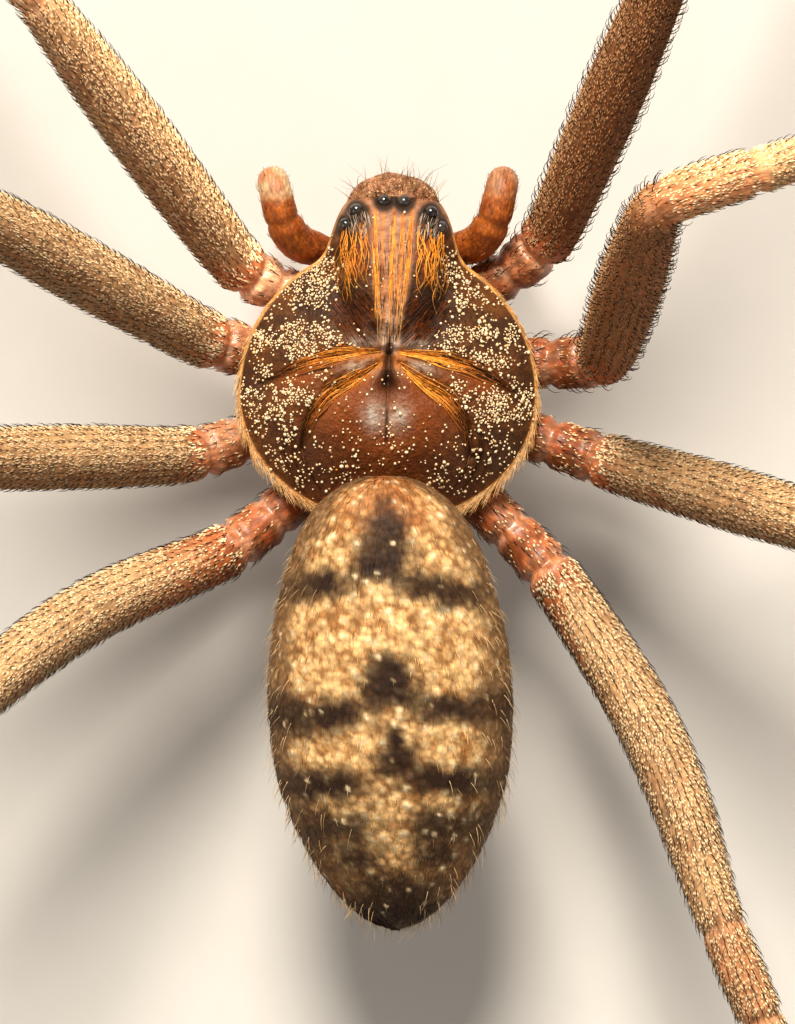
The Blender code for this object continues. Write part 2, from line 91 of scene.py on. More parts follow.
EYES = {
    "eye_front_left": (-0.13, 2.40), "eye_front_right": (0.13, 2.40),
    "eye_left_inner": (-0.486, 2.27), "eye_left_outer": (-0.62, 2.075),
    "eye_right_inner": (0.486, 2.27), "eye_right_outer": (0.62, 2.075),
}
ABDOMEN_FRONT, ABDOMEN_BACK = np.array([-0.04, -1.19, 3.50]), np.array([0.10, -7.12, 2.70])
ABDOMEN_HALF_WIDTH, ABDOMEN_RISE, ABDOMEN_DEPTH = 1.62, 1.16, 1.36
ABDOMEN_TUCK, ABDOMEN_TUCK_LENGTH = 0.6, 0.13
RADII = {"coxa": (0.29, 0.34, 0.36), "femur": (0.37, 0.44, 0.31), "patella": (0.31, 0.33, 0.29),
         "tibia": (0.29, 0.29, 0.25), "foot": (0.255, 0.25, 0.12)}
THICKNESS = {1: 0.95, 2: 1.0, 3: 0.96, 4: 0.95}
FEMUR_BOW, FEMUR_EASE, KNEE_EASE = 0.14, 1.6, 0.62
TARSUS_ANGLE, FOOT_RISE, COXA_Z = -34.0, 0.05, 1.97
LEG_LENGTHS = {1: (5.4, 1.4, 5.6, 5.4, 1.4), 2: (5.8, 1.3, 5.8, 5.7, 1.4),
               3: (5.0, 1.3, 4.1, 5.1, 1.3), 4: (5.4, 1.3, 5.3, 6.4, 1.5)}
LEGS = (  # pair, root, base of the femur, azimuth, climbs of femur, patella and tibia, turn and bow
    (1, (-0.76, 1.00), (-1.87, 1.44, 2.20), -37.0, 36.0, 6.0, -20.0, 0.0, 0.0),
    (2, (-0.97, 0.33), (-2.27, 0.52, 2.20), -61.0, 40.0, 4.0, -24.0, -4.0, 0.0),
    (3, (-0.95, -0.33), (-2.46, -0.92, 2.20), -91.0, 38.0, 2.0, -24.0, -4.0, 0.0),
    (4, (-0.62, -0.95), (-2.00, -2.14, 2.20), -122.0, 32.0, 2.0, -18.0, -10.0, -0.40),
    (1, (0.76, 1.00), (2.06, 1.77, 2.25), 23.5, 38.0, 6.0, -22.0, 6.0, 0.0),
    (2, (0.97, 0.33), (2.84, 0.28, 2.35), 16.0, 69.0, -5.0, -32.0, 57.0, 0.0),
    (3, (0.95, -0.33), (2.78, -0.97, 2.25), 107.0, 38.0, 2.0, -24.0, 6.0, 0.0),
    (4, (0.62, -0.95), (2.12, -2.40, 2.20), 154.5, 17.0, -4.0, -13.0, 2.0, 0.36),
)
PALP_PATH = ((0.80, 1.76, 2.03), (1.21, 1.87, 2.50), (1.39, 2.15, 2.79), (1.51, 2.68, 2.86),
             (1.51, 2.66, 1.90), (1.42, 2.56, 0.95))
CHELICERA_PATH = ((0.28, 2.31, 2.38), (0.28, 2.46, 2.02), (0.25, 2.42, 1.30), (0.15, 2.30, 1.06))
MAXILLA_PATH = ((0.50, 1.42, 1.84), (0.40, 1.74, 1.80), (0.25, 2.06, 1.80))
PEDICEL_PATH = ((0.0, -1.10, 2.06), (0.0, -1.86, 2.10), (0.02, -2.14, 2.37))
SPINNERET_PATH = ((0.10, -6.70, 2.16), (0.10, -6.93, 1.92))
SPINNERETS = ((-0.10, 0.04, 0.38, 0.085), (0.10, 0.04, 0.38, 0.085),  # across, up, length and radius
              (-0.08, -0.08, 0.28, 0.065), (0.08, -0.08, 0.28, 0.065))

# -------------------- how far the skin lies inside the solids
PLATE_INSET, ABDOMEN_INSET, LEG_SHARE, SMALL_SHARE, EYE_SHARE = 0.02, 0.03, 0.955, 0.97, 0.95


# -------------------- colours, as display values
def colour(red, green, blue):
    """Return a linear colour from display values of 0 to 255."""
    value = np.array([red, green, blue]) / 255.0
    return np.where(value <= 0.04045, value / 12.92, ((value + 0.055) / 1.055) ** 2.4)


BROWN = colour(112, 64, 24)
DEEP_BROWN = colour(60, 33, 12)
RED_BROWN = colour(146, 70, 20)
BLACK_BROWN = colour(32, 17, 6)
HOLLOW_BROWN = colour(44, 24, 8)
MAUVE = colour(184, 140, 116)
ORANGE = colour(222, 130, 28)
LIGHT_ORANGE = colour(246, 172, 72)
RIM_TAN = colour(222, 160, 84)
PINK = colour(212, 142, 94)
CREAM = colour(240, 222, 182)
PALE_TAN = colour(226, 190, 140)
GREY_TAN = colour(190, 150, 104)
DUSK_TAN = colour(104, 72, 38)
GREY_WHITE = colour(206, 192, 172)
RUST = colour(176, 84, 36)
LEG_PALE = colour(204, 160, 110)
LEG_DARK_AND_SHADE = colour(118, 66, 36)
UPRIGHT_BROWN = colour(106, 54, 6)
ROOT_BROWN = colour(114, 60, 20)
MEMBRANE = colour(240, 196, 160)
BRISTLE_DARK, BRISTLE_BROWN = colour(26, 15, 8), colour(70, 42, 22)
SCALE_TAN, SCALE_PALE, SCALE_BROWN = colour(188, 150, 105), colour(227, 202, 158), colour(134, 70, 8)
PALP_BROWN, PALP_ORANGE, PALP_HAIR = colour(138, 62, 12), colour(186, 98, 24), colour(60, 38, 26)
ABDOMEN_PALE = colour(229, 184, 122)
ABDOMEN_ORANGE = colour(158, 108, 58)
ABDOMEN_DARK = colour(46, 27, 14)
ABDOMEN_SIDE = colour(122, 88, 54)
LENS_DARK, LENS_GREY = colour(14, 12, 12), colour(58, 52, 46)


class Look(NamedTuple):
    """What sets a leg's colours apart."""

    root_pale: float                # brown below 0, pale above it
    tone: float = 1.0               # brightness of the leg
    root_tone: float = 1.0          # brightness of its root
    scales_lost: float = 0.45       # how many scales the red part lacks
    red_reach: tuple = (0.7, 0.7)   # how far the red reaches along the femur: in front, behind
    upright: bool = False           # it rises towards the camera: browner, with longer bristles


LOOKS = (
    Look(1.3, 1.44, 1.60), Look(0.7), Look(0.5, 1.0, 0.90), Look(0.3, 1.10, 1.0, 0.85, (1.9, 3.0)),
    Look(0.4, upright=True), Look(-0.25, 1.60, 0.86, upright=True), Look(-0.15, 1.14, 0.84),
    Look(0.3, 1.0, 1.0, 0.65, (0.9, 3.0)),
)


def stack(*parts):
    """Join arrays along a new last axis, such as x, y and z into points."""
    return np.stack(parts, -1)


def mix(start, end, share):
    """Blend two colours or numbers, where share may be an array."""
    share = np.asarray(share, float)
    if np.ndim(end) or np.ndim(start) > share.ndim:
        share = share[..., None]
    return start + (np.asarray(end) - start) * share


def fade(start, end, share):
    """Blend as mix does, with the share held between 0 and 1."""
    return mix(start, end, np.clip(share, 0, 1))


def smooth(low, high, value):
    """Rise smoothly from 0 at low to 1 at high."""
    share = np.clip((value - low) / (high - low), 0.0, 1.0)
    return share * share * (3.0 - 2.0 * share)


def bell(value, width):
    """Return a bell curve about 0."""
    return np.exp(-(value / width) ** 2)


def unit(vectors):
    """Return vectors of length 1."""
    return vectors / np.maximum(np.linalg.norm(vectors, axis=-1, keepdims=True), 1e-12)


def lattice(cells, seed):
    """Return a fixed number from 0 to 1 for each whole cell."""
    cells = cells.astype(np.uint64)
    mixed = (cells[..., 0] * np.uint64(73856093)) ^ (cells[..., 1] * np.uint64(19349663))
    mixed ^= (cells[..., 2] * np.uint64(83492791)) ^ np.uint64(seed * 668265263 + 374761393)
    mixed ^= mixed >> np.uint64(13)
    mixed *= np.uint64(1274126177)
    mixed ^= mixed >> np.uint64(16)
    return (mixed & np.uint64(0xFFFF)).astype(float) / 65535.0


def noise(points, size, seed):
    """Return smooth noise from -1 to 1 with cells of a size."""
    scaled = points / size + 1000.0
    base = np.floor(scaled)
    part = scaled - base
    part = part * part * (3.0 - 2.0 * part)
    total = 0.0
    for corner in product((0, 1), repeat=3):
        weight = 1.0
        for axis in range(3):
            weight = weight * (part[..., axis] if corner[axis] else 1.0 - part[..., axis])
        total = total + weight * lattice(base + np.array(corner), seed)
    return 2.0 * total - 1.0


def cellular(points, size, seed):
    """Return how far each point is from the nearest seed of a cell, and that seed's number."""
    scaled = points / size + 1000.0
    base = np.floor(scaled)
    best = np.full(len(points), 9.0)
    number = np.zeros(len(points))
    for corner in product((-1, 0, 1), repeat=3):
        cell = base + np.array(corner)
        seeds = stack(*(lattice(cell, seed + axis) for axis in range(3)))
        away = np.linalg.norm(cell + seeds - scaled, axis=-1)
        number = np.where(away < best, lattice(cell, seed + 7), number)
        best = np.minimum(best, away)
    return best, number


def stations(count):
    """Return the shares of the way along a hair at which its points lie, as a row."""
    return np.linspace(0, 1, count)[None, :]


def chance(count):
    """Return random shares from 0 to 1."""
    return uniform(0, 1, count)


# -------------------- centrelines
def heading(azimuth, climb):
    """Return the unit vector of a heading clockwise from forward and a climb above level."""
    azimuth, climb = radians(azimuth), radians(climb)
    return np.array([np.cos(climb) * np.sin(azimuth), np.cos(climb) * np.cos(azimuth), np.sin(climb)])


class Centreline:
    """A path through corners that are rounded, read by its length."""

    STEPS = 16
    SPARE = 1.0             # how far the path goes on straight past its ends

    def __init__(self, corners, eases):
        corners = [np.array(corner, float) for corner in corners]
        points, middles = [corners[0]], []
        for before, corner, after, ease in zip(corners, corners[1:], corners[2:], eases):
            back, ahead = before - corner, after - corner
            reach = min(ease, 0.48 * np.linalg.norm(back), 0.48 * np.linalg.norm(ahead))
            start, end = corner + unit(back) * reach, corner + unit(ahead) * reach
            for step in range(self.STEPS + 1):
                share = step / self.STEPS
                near, far = start + (corner - start) * share, corner + (end - corner) * share
                points.append(near + (far - near) * share)
            middles.append(len(points) - 1 - self.STEPS // 2)
        points = np.array([*points, corners[-1]])
        lengths = np.concatenate([[0.0], np.cumsum(np.linalg.norm(np.diff(points, axis=0), axis=1))])
        self.corner_lengths = [0.0] + [lengths[index] for index in middles] + [lengths[-1]]
        self.length = lengths[-1]
        first = points[0] + unit(points[0] - points[1]) * self.SPARE
        last = points[-1] + unit(points[-1] - points[-2]) * self.SPARE
        self.points = np.vstack([first, points, last])
        self.lengths = np.concatenate([[-self.SPARE], lengths, [lengths[-1] + self.SPARE]])

    def point(self, length):
        return stack(*(np.interp(length, self.lengths, axis) for axis in self.points.T))

    def tangent(self, length, reach=0.05):
        return unit(self.point(length + reach) - self.point(length - reach))


def swell(share, radii):
    """Return the radius of a length that passes through a start, a middle and an end radius."""
    start, middle, end = radii
    rise = np.sin(np.clip(share, 0.0, 1.0) * pi)
    return np.where(share < 0.5, start + (middle - start) * rise, end + (middle - end) * rise)


# -------------------- meshes
class Mesh:
    """Points, faces, unwrap and colours that become one object."""

    def __init__(self):
        self.points, self.tints, self.places, self.glosses = [], [], [], []
        self.faces, self.maps, self.count = [], [], 0

    def add(self, points, faces, maps, tints, places=None, gloss=0.0):
        """Add points with faces as index rows, and a map row for each face row."""
        number = len(points)
        self.points.append(points)
        self.tints.append(np.broadcast_to(tints, (number, 3)))
        self.places.append(points if places is None else places)
        self.glosses.append(np.broadcast_to(gloss, (number,)))
        self.faces += [rows + self.count for rows in faces]
        self.maps += maps
        self.count += number

    def object(self, name, material, slot, replaced=()):
        """Make the object, in metres, ride it on the root and hide the solids that it replaces."""
        data = bpy.data.meshes.new(name)
        points = np.concatenate(self.points) * METRES + OFFSET
        sizes = np.concatenate([np.full(len(rows), rows.shape[1]) for rows in self.faces])
        corners = np.concatenate([rows.ravel() for rows in self.faces]).astype(np.int32)
        starts = np.concatenate([[0], np.cumsum(sizes)[:-1]]).astype(np.int32)
        data.vertices.add(len(points))
        data.vertices.foreach_set("co", points.astype(np.float32).ravel())
        data.loops.add(len(corners))
        data.loops.foreach_set("vertex_index", corners)
        data.polygons.add(len(sizes))
        data.polygons.foreach_set("loop_start", starts)
        data.update(calc_edges=True)
        maps = np.concatenate([spots.reshape(-1, 2) for spots in self.maps])
        data.uv_layers.new(name="OFBake").data.foreach_set("uv", maps.astype(np.float32).ravel())
        rgba = np.concatenate([np.concatenate(self.tints), np.ones((self.count, 1))], axis=1)
        for label, kind, key, values in (("tint", "FLOAT_COLOR", "color", rgba),
                                         ("place", "FLOAT_VECTOR", "vector", np.concatenate(self.places)),
                                         ("gloss", "FLOAT", "value", np.concatenate(self.glosses))):
            attribute = data.attributes.new(label, kind, "POINT")
            attribute.data.foreach_set(key, values.astype(np.float32).ravel())
        data.validate()
        data.shade_smooth()
        data.materials.append(material)
        made = bpy.data.objects.new(name, data)
        scene.collection.objects.link(made)
        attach(made, "root")
        if replaced:
            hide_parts(*replaced)


def atlas(name, across, up):
    """Return map places from shares of a patch of the unwrap."""
    x, y, width, height = ATLAS[name]
    return stack(x + width * np.asarray(across, float), y + height * np.asarray(up, float))


def grid_faces(rows, columns, wrapped):
    """Return the faces of a grid of points, and each corner's row and column, unwrapped."""
    across = columns if wrapped else columns - 1
    row, column = np.meshgrid(np.arange(rows - 1), np.arange(across), indexing="ij")
    row, column = row.ravel(), column.ravel()
    row_at = stack(row, row, row + 1, row + 1)
    column_at = stack(column, column + 1, column + 1, column)
    return row_at * columns + column_at % columns, row_at, column_at


def rings_of(down, columns, start=0.0):
    """Return a value for each row, and an angle for each column from a start, on one grid."""
    around = start + 2 * pi * np.arange(columns) / columns
    return down[:, None] + np.zeros((1, columns)), np.zeros((len(down), 1)) + around[None, :]


def ball_ways(rows, columns):
    """Return unit vectors over a ball in rings, from below to above."""
    tilt, spin = rings_of(np.linspace(0.02, pi - 0.02, rows), columns)
    return stack(np.sin(tilt) * np.cos(spin), np.sin(tilt) * np.sin(spin), -np.cos(tilt))


def above_floor(points, gap):
    """Return points that are lifted where they would come closer to the floor than a gap."""
    return np.concatenate([points[..., :2], np.maximum(points[..., 2:], gap)], -1)


def add_tube(mesh, rings, patch, tints, places, gloss, lengthways=True):
    """Add a closed tube from rings of points (rows, columns, 3), with a fan at each end."""
    rows, columns = rings.shape[:2]
    faces, row_at, column_at = grid_faces(rows, columns, True)
    along, around = row_at / (rows - 1), column_at / columns
    maps = atlas(patch, along, around) if lengthways else atlas(patch, around, along)
    points = rings.reshape(-1, 3)
    ends = np.stack([rings[0].mean(0), rings[-1].mean(0)])
    index, centre, lift = np.arange(columns), np.full(columns, rows * columns), (rows - 1) * columns
    after = (index + 1) % columns
    first = stack(index, after, centre)
    last = stack(centre + 1, after + lift, index + lift)
    fans = [np.broadcast_to(atlas(patch, across, 0.5), (columns, 3, 2)) for across in (0.001, 0.999)]
    grown = (np.concatenate([values, values[:1], values[-1:]]) for values in (tints, places, gloss))
    mesh.add(np.concatenate([points, ends]), [faces[:, ::-1], first, last], [maps[:, ::-1], *fans], *grown)


def add_copies(mesh, points, tables, maps, tints):
    """Add copies of a small shape: points (copies, corners, 3), tables of its faces, maps and tints."""
    count, corners = points.shape[:2]
    base = (np.arange(count) * corners)[:, None, None]
    mesh.add(points.reshape(-1, 3), [(base + table).reshape(-1, table.shape[1]) for table in tables],
             [maps[:, table].reshape(-1, table.shape[1], 2) for table in tables],
             np.repeat(np.broadcast_to(tints, (count, 3)), corners, 0))


def add_paths(mesh, paths, ups, radii, spots, tints, tip=0.12):
    """Add tapered solid strands, one along each path of points, with three sides and a base."""
    count, steps = paths.shape[:2]
    paths = above_floor(paths, STRAND_GAP)
    along = unit(np.gradient(paths, axis=1))
    side = unit(np.cross(along, ups[:, None]))
    rise = np.cross(side, along)
    share = np.linspace(0.0, 1.0, steps)
    radii = np.broadcast_to(radii, (count,))[:, None]
    size = (radii * (1.0 - (1.0 - tip) * share ** 1.3))[:, :-1, None, None]
    turns = np.arange(3) * 2.0 * pi / 3.0
    wave, lift = np.cos(turns)[:, None], np.sin(turns)[:, None]
    rings = paths[:, :-1, None] + size * (side[:, :-1, None] * wave + rise[:, :-1, None] * lift)
    points = above_floor(np.concatenate([rings.reshape(count, -1, 3), paths[:, -1:]], 1), FLOOR_GAP)
    fan = stack(np.cos(turns), np.sin(turns))
    fan = (PATCH * (1.0 - 0.9 * share[:-1, None, None]) * fan).reshape(-1, 2)
    maps = spots[:, None] + np.concatenate([fan, np.zeros((1, 2))])
    last = 3 * (steps - 2)
    quads = [(ring + corner, ring + (corner + 1) % 3, ring + 3 + (corner + 1) % 3, ring + 3 + corner)
             for ring in range(0, last, 3) for corner in range(3)]
    thirds = [(last + corner, last + (corner + 1) % 3, last + 3) for corner in range(3)] + [(2, 1, 0)]
    add_copies(mesh, points, (np.array(quads), np.array(thirds)), maps, tints)


def add_strands(mesh, roots, first, second, ups, lengths, radii, spots, tints, rings=3, wave=0.0):
    """Add strands that each run root + first * t + second * t * t, over a length, with a wave."""
    count = len(roots)
    step = np.linspace(0.0, 1.0, rings + 1)[None, :, None]
    lengths = np.broadcast_to(lengths, (count,))[:, None, None]
    paths = roots[:, None] + lengths * (first[:, None] * step + second[:, None] * step * step)
    if wave:
        across = unit(np.cross(first, ups))[:, None]
        phase = uniform(0, 2 * pi, (count, 1, 1))
        paths = paths + lengths * wave * across * step * np.sin(phase + 7.0 * step)
    add_paths(mesh, paths, ups, radii, spots, tints)


# A ball of twenty faces
GOLD = (1.0 + 5.0 ** 0.5) / 2.0
BALL = unit(np.array([(0, y, z) for y in (-1, 1) for z in (-GOLD, GOLD)]
                     + [(x, y, 0) for x in (-1, 1) for y in (-GOLD, GOLD)]
                     + [(x, 0, z) for x in (-GOLD, GOLD) for z in (-1, 1)]))
BALL_EDGE = 1.1         # a little more than an edge's length
NEIGHBOURS = np.linalg.norm(BALL[:, None] - BALL, axis=-1) < BALL_EDGE
BALL_FACES = np.array([(a, b, c) for a, b, c in product(range(12), repeat=3)
                       if a < b and a < c and NEIGHBOURS[a, b] and NEIGHBOURS[b, c] and NEIGHBOURS[c, a]
                       and np.dot(np.cross(BALL[b] - BALL[a], BALL[c] - BALL[a]), BALL[a]) > 0.1])


def add_granules(mesh, centres, normals, sizes, spots, tints, flat=0.8, jitter=0.16):
    """Add small rough grains of twenty faces."""
    count = len(centres)
    side = unit(np.cross(normals, np.array([0.3, 1.0, 0.1])))
    ways = np.cross(side, normals)
    shape = BALL * (1.0 + uniform(-jitter, jitter, (count, 12, 1))) * sizes[:, None, None]
    longer = uniform(0.85, 1.25, count)
    shape = shape * stack(longer, np.ones(count), np.full(count, flat))[:, None]
    points = centres[:, None] + (shape[..., :1] * ways[:, None] + shape[..., 1:2] * side[:, None]
                                 + shape[..., 2:] * normals[:, None])
    maps = spots[:, None] + PATCH * BALL[:, :2] * (1.0 - 0.4 * BALL[:, 2:])
    add_copies(mesh, points, (BALL_FACES,), maps, tints)


SCALE_FACES = np.array([(2, 1, 0), (3, 2, 0), (2, 3, 1), (1, 3, 0)])
SCALE_MAP = PATCH * np.array([(-1.0, -0.6), (-1.0, 0.6), (0.0, 0.0), (1.0, 0.0)])


def add_scales(mesh, roots, along, side, out, lengths, widths, spots, tints):
    """Add flat pointed scales of four faces, each lying along its way."""
    lengths, widths = lengths[:, None], widths[:, None]
    ridge = roots + along * lengths * 0.35 + out * widths * 1.1
    tip = roots + along * lengths + out * widths * 0.5
    points = np.stack([roots - side * widths, roots + side * widths, ridge, tip], 1)
    add_copies(mesh, above_floor(points, FLOOR_GAP), (SCALE_FACES,), spots[:, None] + SCALE_MAP, tints)


def dealt(meshes, *values):
    """Deal the rows of some arrays out to meshes in turn, so that each has its share."""
    turn = np.arange(len(values[0])) % len(meshes)
    return [(mesh, [value[turn == part] for value in values]) for part, mesh in enumerate(meshes)]


# -------------------- the carapace
UNDERSIDE = ((1.0, -0.045), (0.985, -0.075), (0.94, -0.06), (0.86, -0.03), (0.5, 0.0))  # reach and drop
BAND_LINES = (0.0, 0.13, 0.24)      # lines of the head's middle band, on either side of it


def head_share(angle):
    return np.exp(-(angle / radians(HEAD_SPREAD)) ** 4)


def carapace_radius(angle):
    """Return the outline of the plate at an angle from forward."""
    length = np.where(np.cos(angle) > 0.0, FRONT_LENGTH, BACK_LENGTH)
    oval = 1.0 / np.hypot(np.sin(angle) / HALF_WIDTH, np.cos(angle) / length)
    return oval + HEAD_REACH * head_share(angle)


def distance_to_course(x, y, course):
    """Return how far places are from a course of straight stretches, and the share travelled."""
    best, travelled = np.full(np.shape(x), 1e9), np.zeros(np.shape(x))
    for index, ((x1, y1), (x2, y2)) in enumerate(zip(course, course[1:])):
        along_x, along_y = x2 - x1, y2 - y1
        share = ((x - x1) * along_x + (y - y1) * along_y) / (along_x ** 2 + along_y ** 2)
        share = np.clip(share, 0.0, 1.0)
        away = np.hypot(x - x1 - share * along_x, y - y1 - share * along_y)
        travelled = np.where(away < best, (index + share) / (len(course) - 1), travelled)
        best = np.minimum(best, away)
    return best, travelled


def furrow(x, y, number, width=None):
    """Return 1 in the middle of a furrow, falling to 0 beside it, and the share travelled along it."""
    half_width, course = FURROWS[number][1:]
    away, travelled = distance_to_course(np.abs(x), y, course)
    return bell(away, width or half_width), travelled


def carapace_share(x, y):
    """Return how far out places lie towards the margin, and their angle from forward."""
    along = y - MIDDLE_Y
    angle = np.arctan2(x, along)
    return np.hypot(x, along) / carapace_radius(angle), angle


def on_disc(reach, angle, height):
    """Return points at a reach and an angle from the plate's middle."""
    return stack(reach * np.sin(angle), MIDDLE_Y + reach * np.cos(angle), height)


def plan(x, y):
    return stack(x, y, 0.0 * x)


def band_share(y):
    """Return how wide the head's middle band is, from the pit to the eyes."""
    return 0.45 + 0.55 * smooth(0.4, 2.0, y)


def carapace_height(x, y):
    """Return the height of the plate, as the solids have it."""
    share, angle = carapace_share(x, y)
    share = np.minimum(share, 1.0)
    head = head_share(angle)
    back = np.maximum(0.0, -np.cos(angle)) ** 2
    steepness = mix(mix(FLANK_STEEPNESS, BACK_STEEPNESS, back), HEAD_STEEPNESS, head)
    deepest = 0.0
    for number, (depth, half_width, course) in enumerate(FURROWS):
        line, travelled = furrow(x, y, number)
        deepest = np.maximum(deepest, depth * (1.0 - 0.5 * travelled) * line)
    edge = np.minimum(1.0, 4.0 * (1.0 - share))
    return MARGIN_Z + (1.0 - share ** steepness) * (DOME_HEIGHT - HEAD_DROP * head * share) - edge * deepest


def carapace_skin(x, y):
    """Return the height of the plate with its fine relief."""
    share, angle = carapace_share(x, y)
    height = carapace_height(x, y) - PLATE_INSET
    place, side = plan(x, y), np.abs(x)
    inner = np.clip(6.0 * (0.97 - share), 0.0, 1.0)
    for number, width, depth in ((PIT, 0.045, 0.10), (MIDLINE, 0.02, 0.03), (FRONT_FURROW, 0.035, 0.04),
                                 (REAR_FURROW, 0.035, 0.04)):
        height = height - inner * depth * furrow(x, y, number, width)[0]
    height = height - 0.09 * bell(x, 0.10) * bell(y, 0.12)
    height = height + inner * 0.014 * noise(place, 0.22, 3) + inner * 0.007 * noise(place, 0.06, 4)
    across = (side * 0.8 + y * 0.6) * (y > -0.4)
    ripples = np.sin(across * 70.0 + 3.0 * noise(place, 0.3, 6))
    height = height + inner * 0.004 * ripples * smooth(0.25, 0.5, side)
    ridge = smooth(0.5, 0.8, y) * smooth(2.3, 2.1, y)
    for line_x in BAND_LINES:
        height = height - 0.012 * ridge * bell(side - line_x * band_share(y), 0.018)
    height = height + 0.028 * bell(share - 0.985, 0.011) * (1.0 - head_share(angle))
    for eye_x, eye_y in EYES.values():
        away = np.hypot(x - eye_x, y - eye_y)
        height = height + 0.045 * bell(away - 0.12, 0.035) - 0.05 * bell(away, 0.08)
    return height


def face_tone(fine):
    """Return the colour of the front of the head."""
    return fade(mix(PINK, MAUVE, 0.5), BROWN, 0.77 + 0.5 * fine)


def carapace_tint(x, y):
    """Return the colour of the plate at places, with the gloss."""
    share, angle = carapace_share(x, y)
    place, side = plan(x, y), np.abs(x)
    wobble, fine = noise(place, 0.35, 11), noise(place, 0.07, 12)
    tint = fade(BROWN, DEEP_BROWN, 0.82 + 0.5 * wobble + 0.3 * fine)
    # Redder behind the pit, at the rear and on the ridges between the furrows
    tint = mix(tint, RED_BROWN, 0.8 * bell(y + 0.45, 0.62) * bell(x, 0.95))
    tint = mix(tint, RED_BROWN, 0.8 * smooth(-0.9, -1.5, y) * bell(x, 0.9))
    tint = mix(tint, RED_BROWN, 0.5 * bell(side - 1.2, 0.3) * bell(y - 0.05, 0.14))
    # Dark hollows beside the head, and the dark pit
    crease, travelled = furrow(x, y, HOLLOW_EDGE, 0.13)
    hollow = furrow(x, y, HOLLOW, 0.27)[0] * smooth(1.42, 1.25, y)
    tint = fade(tint, HOLLOW_BROWN, 1.1 * np.maximum(crease * (1.0 - 0.75 * travelled), hollow))
    tint = mix(tint, BLACK_BROWN, 0.7 * furrow(x, y, PIT, 0.07)[0])
    tint = mix(tint, BLACK_BROWN, 0.8 * bell(side, 0.09 + 0.10 * smooth(0.25, -0.1, y)) * bell(y, 0.20))
    # Furrows, orange near the pit and dark further out
    for number in (FRONT_FURROW, REAR_FURROW):
        line, travelled = furrow(x, y, number, 0.075)
        tint = mix(tint, mix(ORANGE, RED_BROWN, 0.4), 0.75 * line * (1.0 - travelled ** 1.5))
        tint = mix(tint, DEEP_BROWN, 0.8 * line * smooth(0.55, 0.9, travelled))
    # Whitish patches beside the pit
    pale = bell(np.hypot((side - 0.35) / 1.6, y - 0.52), 0.10)
    tint = mix(tint, GREY_WHITE, 0.45 * pale * np.clip(1 + fine, 0, 1))
    pale = bell(np.hypot((side - 0.36) / 1.7, (y - 0.22) / 0.8), 0.12)
    tint = mix(tint, mix(GREY_WHITE, GREY_TAN, 0.4), 0.5 * pale * np.clip(1 + 1.5 * fine, 0, 1))
    # The head's middle band with its orange lines, and the ground under the orange bundles
    half_band = 0.12 + 0.17 * smooth(0.3, 2.0, y)
    band = smooth(half_band + 0.05, half_band - 0.04, side) * smooth(0.34, 0.5, y) * smooth(2.45, 2.3, y)
    paler = mix(MAUVE, GREY_WHITE, 0.70 * smooth(1.3, 0.6, y) + 0.1 * fine)
    streaks = smooth(0.1, 0.5, noise(place * np.array([1.0, 0.16, 1.0]), 0.035, 13))
    paler = mix(paler, BROWN, 0.8 * streaks * smooth(1.7, 0.8, y))
    tint = mix(tint, fade(paler, BROWN, 0.50 + 0.35 * fine), 0.92 * band)
    lines = np.maximum.reduce([bell(side - line_x * band_share(y), 0.026) for line_x in BAND_LINES])
    tint = mix(tint, fade(ORANGE, RED_BROWN, 0.4 + fine), 0.7 * lines * band * smooth(0.4, 1.4, y))
    bundle = bell(side - 0.47, 0.20) * smooth(1.3, 1.5, y) * smooth(2.2, 2.0, y)
    tint = mix(tint, fade(DEEP_BROWN, RED_BROWN, 0.5 + fine), 0.75 * bundle)
    # The two painted highlights behind the pit, pale patches that stand in for the light's shine, and the
    # dark line between them
    painted_highlight = bell(np.hypot((side - 0.16) / 0.8, y + 0.42), 0.17) * (1.0 + 0.6 * fine)
    tint = fade(tint, GREY_WHITE, 0.8 * painted_highlight * np.where(x < 0, 1.0, 0.75))
    tint = mix(tint, BLACK_BROWN, 0.8 * bell(x, 0.020) * smooth(-0.25, -0.35, y) * smooth(-0.85, -0.7, y))
    # The head's sides and front, the rings of the eyes, and the tan rim
    head = head_share(angle)
    tint = mix(tint, BLACK_BROWN, 0.85 * bell(side - 0.80, 0.14) * smooth(1.5, 1.8, y))
    tint = mix(tint, face_tone(fine), 0.95 * smooth(0.88, 0.93, share) * head)
    for eye_x, eye_y in EYES.values():
        tint = mix(tint, BLACK_BROWN, 0.95 * smooth(0.19, 0.12, np.hypot(x - eye_x, y - eye_y)))
    rim = smooth(0.974, 0.982, share) * (1.0 - head)
    return mix(tint, fade(RIM_TAN, BROWN, 0.2 + 0.4 * fine), 0.9 * rim), 0.4 + 0.3 * painted_highlight


def turned(points):
    """Turn points about the upright line through the middle, as the solids' front body is turned."""
    angle = radians(PROSOMA_TURN)
    x, y = points[..., 0], points[..., 1]
    return stack(x * np.cos(angle) - y * np.sin(angle), x * np.sin(angle) + y * np.cos(angle),
                 points[..., 2])


def disc_places(cells):
    """Return places on the unit disc from a square grid, as share and angle."""
    line = np.linspace(-1.0, 1.0, cells + 1)
    a, b = np.meshgrid(line, line, indexing="ij")
    first = np.abs(a) >= np.abs(b)
    main, other = np.where(first, a, b), np.where(first, b, a)
    turn = other / np.where(main == 0.0, 1.0, main) * pi / 4
    angle = np.where(first, turn, pi / 2 - turn) + pi * (main < 0.0)
    return np.abs(main).ravel(), ((angle + pi) % (2 * pi) - pi).ravel()


def carapace_map(x, y):
    """Return places on the plate's patch of the shared unwrap."""
    share, angle = carapace_share(x, y)
    return atlas("carapace", 0.5 + 0.49 * share * np.sin(angle), 0.5 + 0.49 * share * np.cos(angle))


